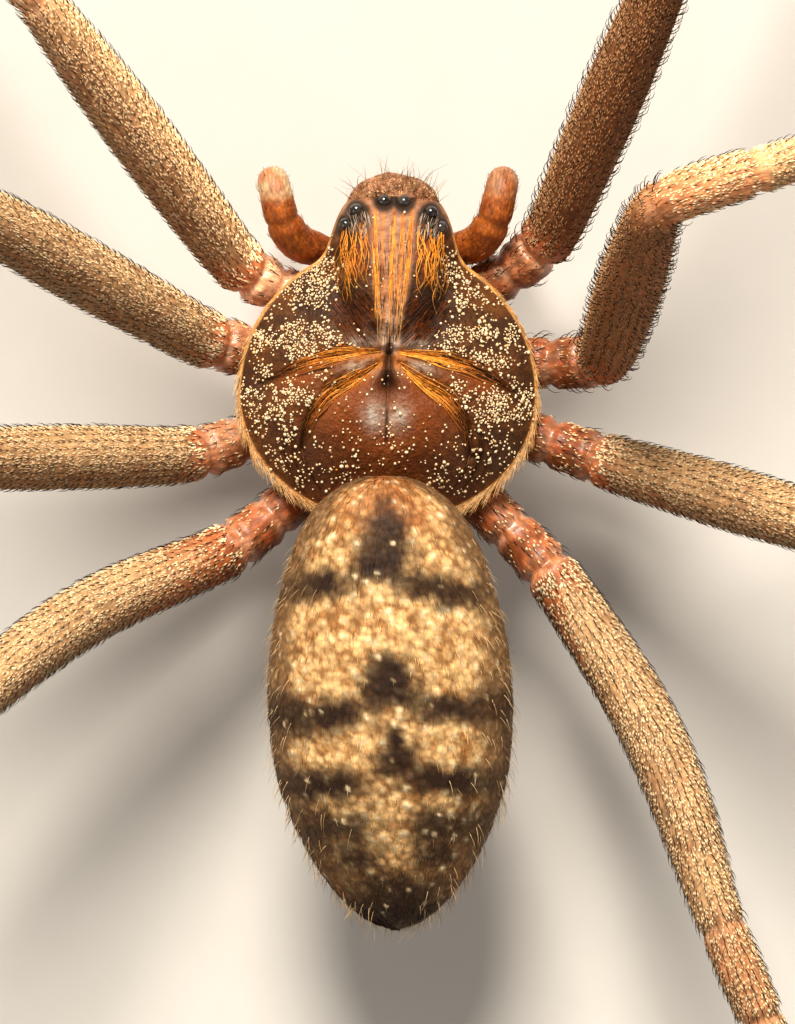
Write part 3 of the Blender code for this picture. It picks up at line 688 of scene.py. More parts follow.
def carapace_normal(x, y, step=0.02):
    slope_x = (carapace_skin(x + step, y) - carapace_skin(x - step, y)) / (2 * step)
    slope_y = (carapace_skin(x, y + step) - carapace_skin(x, y - step)) / (2 * step)
    return unit(stack(-slope_x, -slope_y, np.ones_like(slope_x)))


def make_carapace(material):
    """Make the plate of the front body, closed below."""
    cells = 240
    share, angle = disc_places(cells)
    reach = share * carapace_radius(angle)
    x, y = reach * np.sin(angle), MIDDLE_Y + reach * np.cos(angle)
    tint, gloss = carapace_tint(x, y)
    points, tints, glosses = [stack(x, y, carapace_skin(x, y))], [tint], [gloss]
    faces = grid_faces(cells + 1, cells + 1, False)[0]
    spread = 0.5 + 0.44 * share[:, None] * stack(np.sin(angle), np.cos(angle))
    rows, maps = [faces], [spread[faces]]
    index = np.arange((cells + 1) ** 2).reshape(cells + 1, cells + 1)
    rim = np.concatenate([index[0, :-1], index[:-1, -1], index[-1, :0:-1], index[:0:-1, 0]])
    turn, size = angle[rim], len(rim)
    rings, spots = [rim], [spread[rim]]
    for number, (out, drop) in enumerate(UNDERSIDE):
        height = np.full(size, MARGIN_Z - PLATE_INSET + drop)
        points.append(on_disc(out * carapace_radius(turn), turn, height))
        tints.append(np.broadcast_to(mix(RIM_TAN, BROWN, min(1.0, 0.3 * number)), (size, 3)))
        rings.append(index.size + number * size + np.arange(size))
        out_map = 0.45 + 0.008 * (number + 1)
        spots.append(0.5 + out_map * stack(np.sin(turn), np.cos(turn)))
    for near, far, near_spot, far_spot in zip(rings, rings[1:], spots, spots[1:]):
        rows.append(stack(near, np.roll(near, -1), np.roll(far, -1), far))
        maps.append(np.stack([near_spot, np.roll(near_spot, -1, 0), np.roll(far_spot, -1, 0), far_spot], 1))
    points.append(np.array([[0.0, MIDDLE_Y, MARGIN_Z - PLATE_INSET]]))
    tints.append(np.array([BROWN]))
    glosses.append(np.full(len(UNDERSIDE) * size + 1, 0.3))
    centre = np.full(size, index.size + len(UNDERSIDE) * size)
    rows.append(stack(rings[-1], np.roll(rings[-1], -1), centre))
    maps.append(np.stack([spots[-1], np.roll(spots[-1], -1, 0), spots[-1] * 0.999 + 0.0005], 1))
    points = turned(np.concatenate(points))
    mesh = Mesh()
    mesh.add(points, rows, maps, np.concatenate(tints), points, np.concatenate(glosses))
    mesh.object("carapace_plate", material, "carapace", ["carapace"])


# -------------------- the abdomen
ABDOMEN_CELL = 0.125    # size of the pale dots
MARKS = (  # dark marks of the back: x and y of the middle, half width, half length and strength
    (0.0, -1.66, 0.15, 0.24, 0.7), (-0.04, -1.96, 0.28, 0.24, 0.95), (-0.08, -2.34, 0.44, 0.26, 1.0),
    (-0.82, -2.60, 0.36, 0.19, 1.0), (-1.25, -2.72, 0.3, 0.14, 0.5), (0.50, -2.62, 0.42, 0.16, 0.95),
    (0.92, -2.76, 0.34, 0.16, 0.9), (-0.02, -3.72, 0.27, 0.22, 1.0), (0.0, -4.00, 0.38, 0.26, 1.0),
    (-0.78, -4.30, 0.52, 0.20, 1.0), (0.74, -4.22, 0.48, 0.20, 1.0), (-1.10, -4.52, 0.36, 0.14, 0.6),
    (-1.42, -4.26, 0.28, 0.24, 0.9), (1.38, -4.20, 0.32, 0.22, 0.8), (0.0, -4.62, 0.16, 0.18, 1.0),
    (0.02, -4.90, 0.30, 0.20, 1.0), (-0.92, -5.22, 0.58, 0.21, 1.0), (0.72, -5.16, 0.68, 0.19, 1.0),
    (-0.74, -5.78, 0.44, 0.24, 0.95), (0.60, -5.76, 0.46, 0.24, 0.95), (-0.52, -6.18, 0.32, 0.18, 0.95),
    (0.50, -6.16, 0.26, 0.17, 0.9), (0.0, -6.66, 0.66, 0.27, 0.95), (0.0, -6.98, 0.7, 0.2, 0.95),
    (-1.25, -5.95, 0.30, 0.6, 0.45), (1.30, -5.95, 0.35, 0.6, 0.55), (-1.55, -4.9, 0.14, 0.6, 0.35),
    (1.58, -4.9, 0.16, 0.6, 0.6),
)


def abdomen_middle(share):
    return mix(ABDOMEN_FRONT, ABDOMEN_BACK, share)


def abdomen_point(share, angle):
    """Return the abdomen's surface at a share of its length and an angle round it."""
    place = 2.0 * share - 1.0
    size = np.sqrt(np.maximum(1.0 - place * place, 0.0))
    size = size * (1.0 - 0.25 * np.maximum(0.0, place - 0.3) ** 1.5
                   + 0.56 * np.maximum(0.0, -place - 0.5) ** 1.5)
    tuck = 1.0 - ABDOMEN_TUCK * np.exp(-share / ABDOMEN_TUCK_LENGTH)
    rise = np.sin(angle)
    height = np.where(rise > 0.0, ABDOMEN_RISE, ABDOMEN_DEPTH * tuck)
    wide = np.maximum(size * ABDOMEN_HALF_WIDTH - ABDOMEN_INSET, 0.0)
    tall = np.maximum(size * height - ABDOMEN_INSET, 0.0)
    return abdomen_middle(share) + RIGHT * (wide * np.cos(angle))[..., None] + UP * (tall * rise)[..., None]


def abdomen_marks(points, angle):
    """Return how dark the markings are, how brown the flank is, and how far below it lies."""
    warp, warp_y = 0.09 * noise(points, 0.26, 21), 0.07 * noise(points, 0.20, 22)
    fray = 0.05 * noise(points, 0.08, 26)
    middle = -0.04 + 0.18 * (-1.19 - points[:, 1]) / 5.93
    x, y = points[:, 0] - middle + warp + fray, points[:, 1] + warp_y + fray
    clear = np.ones(len(points))
    for mark_x, mark_y, half_width, half_length, strength in MARKS:
        away = ((x - mark_x) / half_width) ** 4 + ((y - mark_y) / half_length) ** 4
        clear = clear * (1.0 - strength * np.exp(-0.7 * away))
    below = smooth(0.10, -0.40, np.sin(angle))
    rear = smooth(-5.2, -6.4, points[:, 1])
    side = smooth(0.82 + 0.12 * rear, 0.45, np.sin(angle) + 0.14 * noise(points, 0.3, 23))
    return 1.0 - clear, np.clip(side + 0.25 * rear, 0, 1), below


def abdomen_tint(points, angle):
    """Return the colour of the abdomen at places."""
    dark, side, below = abdomen_marks(points, angle)
    away, number = cellular(points, ABDOMEN_CELL, 31)
    patchy = 0.42 * noise(points, 0.34, 27) + 0.30 * noise(points, 0.17, 28)
    tint = fade(ABDOMEN_PALE, ABDOMEN_ORANGE, smooth(0.34, 0.72, away) * 0.9 + 0.9 * (number - 0.62) + patchy)
    front = bell(points[:, 0], 0.60) * smooth(-2.35, -1.6, points[:, 1])
    front = front * smooth(0.1, 0.4, away + 0.3 * number)
    tint = mix(tint, mix(RED_BROWN, ABDOMEN_ORANGE, 0.4), 0.85 * front)
    tint = mix(tint, CREAM, 0.75 * smooth(0.40, 0.16, away) * smooth(0.62, 0.3, number))
    dots = smooth(0.35, 0.15, away) * smooth(0.5, 0.2, number)
    tint = mix(tint, ABDOMEN_SIDE, 0.92 * side * (1.0 - 0.5 * dots))
    rear = smooth(-5.35, -6.3, points[:, 1]) * smooth(0.3, 0.5, number)
    tint = mix(tint, mix(ABDOMEN_ORANGE, ABDOMEN_DARK, 0.35), 0.7 * rear)
    spot = smooth(0.40, 0.18, away) * smooth(0.17, 0.10, number)
    tint = mix(tint, ABDOMEN_DARK, np.clip(dark * (1.0 - 0.8 * spot), 0, 1) * (1.0 - 0.3 * below))
    return mix(tint, DUSK_TAN, 0.6 * below)


def add_abdomen(mesh):
    rows, columns = ((230, 220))
    down = 0.5 - 0.5 * np.cos(pi * (np.arange(rows) + 0.25) / (rows - 0.5))
    share, angle = rings_of(down, columns, -pi / 2)
    share, angle = share.ravel(), angle.ravel()
    points = abdomen_point(share, angle)
    out = unit(points - abdomen_middle(share))
    away = cellular(points, ABDOMEN_CELL, 31)[0]
    relief = 0.020 * smooth(0.6, 0.1, away)
    relief = relief + 0.012 * noise(points, 0.35, 24) + 0.004 * noise(points, 0.05, 25)
    relief = relief * (smooth(0.0, 0.03, share) * smooth(1.0, 0.97, share))
    rings = (points + out * relief[:, None]).reshape(rows, columns, 3)
    add_tube(mesh, rings, "abdomen", abdomen_tint(points, angle), 0.62 * points * ISOTROPIC,
             np.full(len(points), 0.15), lengthways=False)


# -------------------- legs
def leg_line(leg):
    """Return a leg's centreline, as the source lays it out."""
    pair, root, base, azimuth, femur_climb, patella_climb, tibia_climb, turn, bow = leg
    femur, patella, tibia, metatarsus, tarsus = LEG_LENGTHS[pair]
    base = np.array(base)
    knee = base + heading(azimuth, femur_climb) * femur
    middle = (base + knee) / 2 + UP * FEMUR_BOW - heading(azimuth + 90.0, 0.0) * bow
    past_knee = azimuth + turn
    shin_top = knee + heading(past_knee, patella_climb) * patella
    ankle = shin_top + heading(past_knee, tibia_climb) * tibia
    fall = (FOOT_RISE - ankle[2] - tarsus * np.sin(radians(TARSUS_ANGLE))) / metatarsus
    level = heading(past_knee, 0.0) * (metatarsus * np.sqrt(1 - fall * fall))
    tarsus_start = ankle + level + UP * (metatarsus * fall)
    tip = tarsus_start + heading(past_knee, TARSUS_ANGLE) * tarsus
    corners = [(*root, COXA_Z), base, middle, knee, shin_top, ankle, tarsus_start, tip]
    return Centreline(corners, (KNEE_EASE, FEMUR_EASE) + (KNEE_EASE,) * 4)


class Limb:
    """A tube with its surface, colour and map by length and angle."""

    TIP_ROUNDING = 0.12

    def __init__(self, line, patch, radius, tint, gloss, side=None):
        self.line, self.patch, self.radius, self.tint = line, patch, radius, tint
        self.gloss, self.side = gloss, side

    def frame(self, length):
        along = self.line.tangent(length)
        hint = np.cross(along, UP) if self.side is None else np.broadcast_to(self.side, along.shape)
        side = unit(hint - along * (hint * along).sum(-1, keepdims=True))
        return along, side, np.cross(side, along)

    def normal(self, length, angle):
        along, side, rise = self.frame(length)
        return side * np.cos(angle)[..., None] + rise * np.sin(angle)[..., None]

    def rear(self, length, angle):
        """Return 1 on the side that faces the rear, away from the key light, falling to 0 in front: used for
        painted shade and for real colour.
        """
        return smooth(0.35, -0.75, self.normal(length, angle)[:, 1])

    def point(self, length, angle):
        return self.line.point(length) + self.normal(length, angle) * self.radius(length, angle)[..., None]

    def spot(self, length, angle):
        return atlas(self.patch, length / self.line.length, (angle / (2 * pi)) % 1.0)

    def add_skin(self, mesh, step, columns):
        along = np.linspace(0.0, self.line.length, max(8, int(self.line.length / step)))
        rounded = np.sqrt(np.clip((self.line.length - along) / self.TIP_ROUNDING, 0.02, 1.0))
        length, angle = rings_of(along, columns)
        middle = self.line.point(length)
        rings = middle + (self.point(length, angle) - middle) * rounded[:, None, None]
        length, angle = length.ravel(), angle.ravel()
        places = stack(length / (1.0 if self.side is None else STRETCH), angle * 0.3, 0.0 * angle)
        tint = self.tint(length, angle, rings.reshape(-1, 3))
        add_tube(mesh, rings, self.patch, tint, places, self.gloss(length))


def make_leg(number, leg, look):
    """Return the limb of a leg, with its look and the lengths of its joints."""
    line = leg_line(leg)
    base, middle, knee, shin, ankle, tarsus, tip = line.corner_lengths[1:]
    trochanter = 0.66 * base
    thickness = THICKNESS[leg[0]]

    def radius(length, angle):
        size = np.where(length < base, swell(length / base, RADII["coxa"]), 0.0)
        for name, start, end in (("femur", base, knee), ("patella", knee, shin), ("tibia", shin, ankle),
                                 ("foot", ankle, tip)):
            inside = (length >= start) & (length <= end + 1.0)
            size = np.where(inside, swell((length - start) / (end - start), RADII[name]), size)
        size = size * thickness * LEG_SHARE
        for joint, pinch, collar in ((trochanter, 0.045, 0.015), (base, 0.055, 0.02), (knee, 0.03, 0.01),
                                     (shin, 0.045, 0.015), (ankle, 0.04, 0.01), (tarsus, 0.02, 0.005)):
            size = size - pinch * bell(length - joint, 0.05)
            size = size + collar * (bell(length - joint - 0.15, 0.08) + bell(length - joint + 0.15, 0.08))
        return size

    def tint(length, angle, points):
        coarse, fine = noise(points, 0.5, 41 + number), noise(points, 0.09, 51 + number)
        low, rear = smooth(0.2, -0.75, np.sin(angle)), limb.rear(length, angle)
        shown = fade(LEG_PALE, LEG_DARK_AND_SHADE, 0.26 + 0.25 * coarse + 0.25 * fine)
        if look.upright:
            shown = mix(shown, UPRIGHT_BROWN, 0.80 * smooth(shin, knee, length))
        # Painted shade: the underside and the rear side, away from the key light, are darkened
        shown = mix(shown, LEG_DARK_AND_SHADE, np.maximum(0.7 * low, 0.6 * rear))
        shown = mix(shown, RUST, 0.85 * smooth(base + mix(*look.red_reach, rear), base + 0.1, length))
        # The coxa and trochanter, partly painted light and shade: paler in front, towards the key light, and
        # browner behind
        pale = look.root_pale
        root = fade(RUST, mix(PINK, MEMBRANE, 0.3 * pale), pale + 0.3 * coarse - 0.3 * rear)
        root = fade(root, ROOT_BROWN, 0.4 - 0.3 * pale + 0.4 * rear + 0.7 * fine)
        shown = mix(shown, root, smooth(base + 0.05, base - 0.1, length))
        # Pale skin in the joints, partly painted highlight: its pale patches lie only on the upper, lit side
        petal_and_highlight = smooth(0.6, 0.3, cellular(points, 0.15, 43)[0]) * smooth(-0.2, 0.5, np.sin(angle))
        membrane = mix(fade(RUST, PINK, 0.7 + 0.5 * pale), MEMBRANE, petal_and_highlight * np.clip(0.6 + 0.5 * pale, 0, 1))
        for joint, width, strength in ((trochanter, 0.10, 0.7), (base, 0.14, 0.8), (knee, 0.2, 0.4),
                                       (shin, 0.12, 0.6), (ankle, 0.12, 0.5), (tarsus, 0.1, 0.4)):
            shown = mix(shown, membrane, strength * bell(length - joint, width) * (0.7 + 0.3 * coarse))
        patella = smooth(knee - 0.1, knee + 0.3, length) * smooth(shin + 0.2, shin - 0.2, length)
        shown = mix(shown, mix(PINK, RUST, 0.3), 0.6 * patella)
        shown = mix(shown, RED_BROWN, 0.35 * smooth(tarsus - 1.0, tip, length))
        return shown * mix(look.root_tone, look.tone, smooth(base - 0.1, base + 0.2, length))[:, None]

    def gloss(length):
        return 0.15 + 0.85 * np.maximum(bell(length - base, 0.22), bell(length - trochanter, 0.2))

    limb = Limb(line, f"leg_{number}", radius, tint, gloss)
    limb.look, limb.joints = look, (trochanter, base, knee, shin, ankle, tarsus, tip)
    return limb


def plain_limb(path, eases, patch, radii, tint, knee=None, second=None):
    """Return the limb of a mouthpart, palp or spinneret, with other radii past a knee."""
    line = Centreline(path, eases)
    bend = line.corner_lengths[knee] if knee else None

    def radius(length, angle):
        if bend is None:
            return SMALL_SHARE * swell(length / line.length, radii)
        size = np.where(length < bend, swell(length / bend, radii),
                        swell((length - bend) / (line.length - bend), second))
        return SMALL_SHARE * size - 0.03 * bell(length - bend, 0.06)

    return Limb(line, patch, radius, tint, lambda length: np.full(len(length), 0.5), RIGHT)


def mottled(first, second, share, cell, seed):
    """Return a function of a limb's places that fades between two colours with noise."""
    return lambda length, angle, points: fade(first, second, share + noise(points, cell, seed))


def palp_tint(length, angle, points):
    fine = noise(points, 0.08, 61)
    base = fade(PALP_BROWN, PALP_ORANGE, 0.35 + 0.5 * fine)
    knob = smooth(1.30, 1.46, length + 0.06 * fine) * smooth(2.25, 1.9, length)
    paler = fade(PALE_TAN, mix(PINK, RUST, 0.3), 0.40 + 1.3 * noise(points, 0.13, 64))
    base = mix(base, paler, np.where(points[:, 0] < 0, 0.85, 0.25) * knob)
    return mix(base, RED_BROWN, 0.7 * smooth(2.1, 2.8, length)) * (1.0 - 0.16 * knob[:, None])


def jaw_tint(length, angle, points):
    base = fade(mix(PINK, RED_BROWN, 0.45), BROWN, 0.4 + 0.5 * noise(points, 0.06, 62))
    return mix(base, DEEP_BROWN, 0.8 * smooth(1.0, 1.5, length))


def make_small_limbs():
    """Return the palps, chelicerae, maxillae, pedicel and spinnerets, each with its name."""
    plain_tint = mottled(RED_BROWN, BROWN, 0.5, 0.15, 63)
    spinneret_tint = mottled(ABDOMEN_ORANGE, DUSK_TAN, 0.6, 0.1, 68)
    limbs = []
    for index, sign in enumerate((-1.0, 1.0)):
        palp, chelicera, maxilla = ([(sign * x, y, z) for x, y, z in path]
                                    for path in (PALP_PATH, CHELICERA_PATH, MAXILLA_PATH))
        limbs += [("palp", plain_limb(palp, (0.20, 0.20, 0.33, 0.40), f"small_{index}", (0.20, 0.25, 0.25),
                                      palp_tint, 2, (0.24, 0.20, 0.09))),
                  ("chelicera", plain_limb(chelicera, (0.3, 0.3), f"small_{2 + index}", (0.21, 0.235, 0.07),
                                           jaw_tint)),
                  ("maxilla", plain_limb(maxilla, (0.2,), f"small_{4 + index}", (0.15, 0.17, 0.10),
                                         plain_tint))]
    limbs.append(("pedicel", plain_limb(PEDICEL_PATH, (0.2,), "small_6", (0.20, 0.18, 0.20), plain_tint)))
    limbs.append(("spinneret", plain_limb(SPINNERET_PATH, (), "small_7", (0.17, 0.21, 0.15), spinneret_tint)))
    for across, up, length, radius in SPINNERETS:
        start = np.array([0.10 + 0.8 * across, -6.86, 1.95 + up])
        end = start + unit(np.array([across, -0.88, -0.47 + up])) * (length - 0.03)
        radii = (radius, radius, 0.4 * radius)
        limbs.append(("spinneret", plain_limb((start, end), (), "small_8", radii, spinneret_tint)))
    return limbs


# -------------------- the face and the underside
FACE_MIDDLE, FACE_RADII, FACE_UNDERSIDE = np.array([0.0, 2.36, 2.51]), np.array([0.60, 0.43, 0.48]), 0.42
FLANK_RINGS = ((0.6, 2.58), (0.90, 2.575), (0.90, 2.53), (0.84, 2.47), (0.74, 2.41), (0.62, 2.34),
               (0.50, 2.28))        # share of the plate's outline, and height
STERNUM_RINGS = ((0.97, 2.18), (0.98, 2.05), (0.98, 1.88), (0.95, 1.76), (0.88, 1.68), (0.76, 1.635),
                 (0.5, 1.615), (0.2, 1.61))     # share of the sternum's outline, and height
STERNUM_HALF_WIDTH, STERNUM_HALF_LENGTH, LIP_REACH, LIP_SPREAD = 0.82, 0.96, 0.42, 20.0


def face_point(out, inset=0.0):
    """Return places on the front of the head, whose lower half is flatter."""
    flatten = np.where(out[..., 2:] < 0.0, np.array([1.0, 1.0, FACE_UNDERSIDE]), 1.0)
    return turned(FACE_MIDDLE + out * flatten * (FACE_RADII - inset))


def add_face(mesh):
    """Add the rounded front of the head, between the eyes and the chelicerae."""
    out = ball_ways(60, 90)
    rings = face_point(out)
    flat = rings.reshape(-1, 3)
    flat = flat + out.reshape(-1, 3) * (0.012 * noise(flat, 0.07, 65) + 0.02 * noise(flat, 0.2, 66))[:, None]
    tint = face_tone(noise(flat, 0.06, 67))
    tint = mix(tint, BLACK_BROWN, 0.7 * smooth(0.30, 0.5, np.abs(flat[:, 0])) * smooth(2.5, 2.2, flat[:, 1]))
    add_tube(mesh, flat.reshape(rings.shape), "small_9", tint, flat * ISOTROPIC, np.full(len(flat), 0.3))


def add_below(mesh):
    """Add the soft flank below the plate, and the sternum with its lip."""
    columns = 128
    turn = (2 * pi * np.arange(columns) / columns + pi) % (2 * pi) - pi
    shape = [turned(on_disc(share * carapace_radius(turn), turn, np.full(columns, height)))
             for share, height in FLANK_RINGS]
    oval = 1.0 / np.hypot(np.sin(turn) / STERNUM_HALF_WIDTH, np.cos(turn) / STERNUM_HALF_LENGTH)
    outline = oval + LIP_REACH * np.exp(-(turn / radians(LIP_SPREAD)) ** 4)
    for share, height in STERNUM_RINGS:
        reach = share * outline
        shape.append(stack(reach * np.sin(turn), reach * np.cos(turn), np.full(columns, height)))
    rings = np.array(shape)
    flat = rings.reshape(-1, 3)
    tint = fade(RED_BROWN, BROWN, 0.4 + 0.6 * noise(flat, 0.3, 71))
    tint = mix(tint, PINK, 0.5 * smooth(2.2, 2.4, flat[:, 2]) * smooth(2.56, 2.5, flat[:, 2]))
    add_tube(mesh, rings, "below", tint, flat, np.full(len(flat), 0.4), lengthways=False)


# -------------------- materials
class Nodes:
    """A material's node tree, with its shader."""

    def __init__(self, name):
        self.material = bpy.data.materials.new(name)
        self.material.use_nodes = True
        self.tree = self.material.node_tree
        self.shader = self.tree.nodes["Principled BSDF"]

    def node(self, kind, inputs=None, **settings):
        made = self.tree.nodes.new(kind)
        for key, value in settings.items():
            setattr(made, key, value)
        for key, value in (inputs or {}).items():
            self.set(made.inputs[key], value)
        return made

    def set(self, socket, value):
        if isinstance(value, bpy.types.NodeSocket):
            self.tree.links.new(value, socket)
        else:
            socket.default_value = value

    def attribute(self, name, output="Color"):
        return self.node("ShaderNodeAttribute", attribute_name=name).outputs[output]

    def noise(self, vector, scale, detail=3.0, rough=0.6):
        inputs = {"Vector": vector, "Scale": scale, "Detail": detail, "Roughness": rough}
        return self.node("ShaderNodeTexNoise", inputs).outputs["Fac"]

    def cells(self, vector, scale, spread=1.0):
        inputs = {"Vector": vector, "Scale": scale, "Randomness": spread}
        return self.node("ShaderNodeTexVoronoi", inputs).outputs["Distance"]

    def range(self, value, low, high, to_low=0.0, to_high=1.0):
        inputs = {"Value": value, "From Min": low, "From Max": high, "To Min": to_low, "To Max": to_high}
        return self.node("ShaderNodeMapRange", inputs).outputs["Result"]

    def blend(self, share, first, second, kind="MIX"):
        made = self.node("ShaderNodeMix", {0: share, 6: first, 7: second}, data_type="RGBA", blend_type=kind)
        return made.outputs[2]

    def shaded(self, shade):
        """Return the mesh's own tint, made darker or lighter by a shade."""
        grey = self.node("ShaderNodeCombineColor", {0: shade, 1: shade, 2: shade}).outputs[0]
        return self.blend(1.0, self.attribute("tint"), grey, "MULTIPLY")

    def bump(self, height, distance, strength=1.0, normal=None):
        inputs = {"Height": height, "Distance": distance, "Strength": strength}
        if normal:
            inputs["Normal"] = normal
        return self.node("ShaderNodeBump", inputs).outputs["Normal"]

    def finish(self, **sockets):
        for name, value in sockets.items():
            self.set(self.shader.inputs[name.replace("_", " ")], value)
        return self.material


def rgba(value):
    return (*[float(part) for part in value], 1.0)


def plate_material():
    nodes = Nodes("carapace cuticle")
    place = nodes.attribute("place", "Vector")
    fine = nodes.noise(place, 26.0, 4.0, 0.7)
    bump = nodes.bump(fine, 0.000016, 0.8, nodes.bump(nodes.cells(place, 22.0), 0.000012, 0.7))
    return nodes.finish(Base_Color=nodes.shaded(nodes.range(fine, 0.25, 0.75, 0.55, 1.45)), Normal=bump,
                        Roughness=nodes.range(fine, 0.3, 0.7, 0.40, 0.60), Specular_IOR_Level=0.22)


def skin_material():
    nodes = Nodes("body and leg cuticle")
    place, gloss = nodes.attribute("place", "Vector"), nodes.attribute("gloss", "Fac")
    stretched = nodes.node("ShaderNodeMapping", {"Vector": place, "Scale": (STRETCH, 1.0, 1.0)}).outputs[0]
    cells = nodes.cells(stretched, 17.0, 0.9)
    fine = nodes.noise(place, 30.0, 3.0, 0.65)
    factors = {0: nodes.range(cells, 0.15, 0.75, 1.25, 0.66), 1: nodes.range(fine, 0.3, 0.7, 0.8, 1.2)}
    shade = nodes.node("ShaderNodeMath", factors, operation="MULTIPLY").outputs[0]
    bump = nodes.bump(nodes.range(cells, 0.1, 0.7, 1.0, 0.0), 0.000010, 0.6)
    bump = nodes.bump(fine, 0.000010, 0.6, bump)
    return nodes.finish(Base_Color=nodes.shaded(shade), Roughness=nodes.range(gloss, 0.1, 1.0, 0.66, 0.26),
                        Normal=bump, Specular_IOR_Level=nodes.range(gloss, 0.1, 1.0, 0.15, 0.6),
                        Subsurface_Weight=0.12, Subsurface_Radius=(0.0004, 0.0002, 0.0001))


def hair_material(name, roughness, variation=0.35):
    nodes = Nodes(name)
    fine = nodes.noise(nodes.attribute("place", "Vector"), 14.0, 2.0)
    shade = nodes.range(fine, 0.3, 0.7, 1.0 - variation, 1.0 + variation)
    return nodes.finish(Base_Color=nodes.shaded(shade), Roughness=roughness, Specular_IOR_Level=0.18)


def eye_material():
    nodes = Nodes("eye lens")
    fine = nodes.noise(nodes.attribute("place", "Vector"), 9.0, 2.0)
    base = nodes.blend(nodes.range(fine, 0.35, 0.65), rgba(LENS_DARK), rgba(LENS_GREY))
    return nodes.finish(Base_Color=base, Roughness=0.16, Specular_IOR_Level=0.6)


def floor_material():
    nodes = Nodes("studio floor")
    fine = nodes.noise(nodes.node("ShaderNodeTexCoord").outputs["Object"], 260.0, 4.0)
    base = nodes.blend(nodes.range(fine, 0.3, 0.7), (0.56, 0.53, 0.48, 1.0), (0.61, 0.58, 0.53, 1.0))
    return nodes.finish(Base_Color=base, Roughness=0.8)


# -------------------- build the skin
FLESH = ["sternum", "pedicel", "abdomen", "spinnerets"]
for side in ("left", "right"):
    FLESH += [f"chelicera_{side}", f"maxilla_{side}", f"palp_{side}_femur", f"palp_{side}_tip"]
    FLESH += [f"leg_{side}_{pair}_{part}" for pair in (1, 2, 3, 4)
              for part in ("coxa", "femur", "patella", "tibia", "foot")]

make_carapace(plate_material())
skin = Mesh()
add_abdomen(skin)
add_below(skin)
add_face(skin)
legs = [make_leg(number, leg, look) for number, (leg, look) in enumerate(zip(LEGS, LOOKS))]
skin_step, skin_columns = ((0.045, 44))
for limb in legs:
    limb.add_skin(skin, skin_step, skin_columns)
small_limbs = make_small_limbs()
for name, limb in small_limbs:
    limb.add_skin(skin, 0.03, 36)
skin.object("body_skin", skin_material(), "limb", FLESH)

# -------------------- eyes
LENS_DROP = 0.012       # how much deeper a lens lies than its solid
eye_look = eye_material()
for name, (x, y) in EYES.items():
    lens = Mesh()
    centre = np.array([x, y, float(carapace_height(np.array(x), np.array(y))) - EYE_SINK])
    rings = turned(centre - UP * LENS_DROP + ball_ways(24, 32) * EYE_RADIUS * EYE_SHARE)
    places = rings.reshape(-1, 3)
    add_tube(lens, rings, "eye", np.broadcast_to(BLACK_BROWN, places.shape), places, np.ones(len(places)))
    lens.object("lens_" + name[4:], eye_look, "eye", [name])


# -------------------- the coat of the legs
def shades(first, second, count, power=1.0):
    """Return colours at random between two, nearer to the first with a higher power."""
    return mix(first, second, chance(count) ** power)


def scattered(limb, spacing_along, spacing_round, start, end, jitter=0.45, rows=0):
    """Return lengths and angles spread evenly over a limb, or in a multiple of so many rows."""
    lengths, angles = [], []
    row, shifted = start, False
    while row < end:
        around = 2 * pi * float(limb.radius(np.array([row]), np.array([0.0]))[0]) / spacing_round
        count = rows * max(1, round(around / rows)) if rows else max(4, int(around))
        base = (np.arange(count) + (0.5 if shifted and not rows else 0.0)) / count
        angles.append(2 * pi * (base + uniform(-jitter, jitter, count) * 0.5 / count))
        shift = 0.5 * (np.arange(count) % 2) if rows else 0.0
        lengths.append(row + (shift + uniform(-jitter, jitter, count)) * spacing_along)
        row += spacing_along
        shifted = not shifted
    return np.concatenate(lengths), np.concatenate(angles)


def add_leg_bristles(meshes, limb):
    """Add a leg's bristles: dark, curved, their tips towards the foot."""
    trochanter, base, knee, shin, ankle, tarsus, tip = limb.joints
    along_gap, round_gap = (0.14, 0.125) if limb.look.upright else (0.118, 0.105)
    length, angle = scattered(limb, along_gap, round_gap, 0.35, tip - 0.05, 0.25, 6)
    bare = np.maximum.reduce([bell(length - joint, 0.10) for joint in (trochanter, base, shin, ankle)])
    keep = chance(len(length)) > bare
    keep &= (length > base) | (chance(len(length)) < 0.4)
    length, angle = length[keep], angle[keep]
    count, along, out = len(length), limb.frame(length)[0], limb.normal(length, angle)
    arched = limb.look.upright & (length < knee)
    raised = np.where(arched, 1.30, 0.72) * uniform(0.8, 1.2, count)
    first = unit(along + out * raised[:, None] + np.cross(out, along) * normal(0, 0.10, (count, 1)))
    second = -out * (np.where(arched, 0.80, 0.62) * raised / np.hypot(1, raised))[:, None]
    size = uniform(0.17, 0.26, count) * np.where(length > tarsus, 0.7, 1.0)
    size = size * np.where(arched, 1.75, 1.0)
    tint = shades(BRISTLE_DARK, BRISTLE_BROWN, count, 1.5)
    roots = limb.point(length, angle) - out * 0.012
    for mesh, values in dealt(meshes, roots, first, second, out, size, np.full(count, 0.0084),
                              limb.spot(length, angle), tint):
        add_strands(mesh, *values, 4)


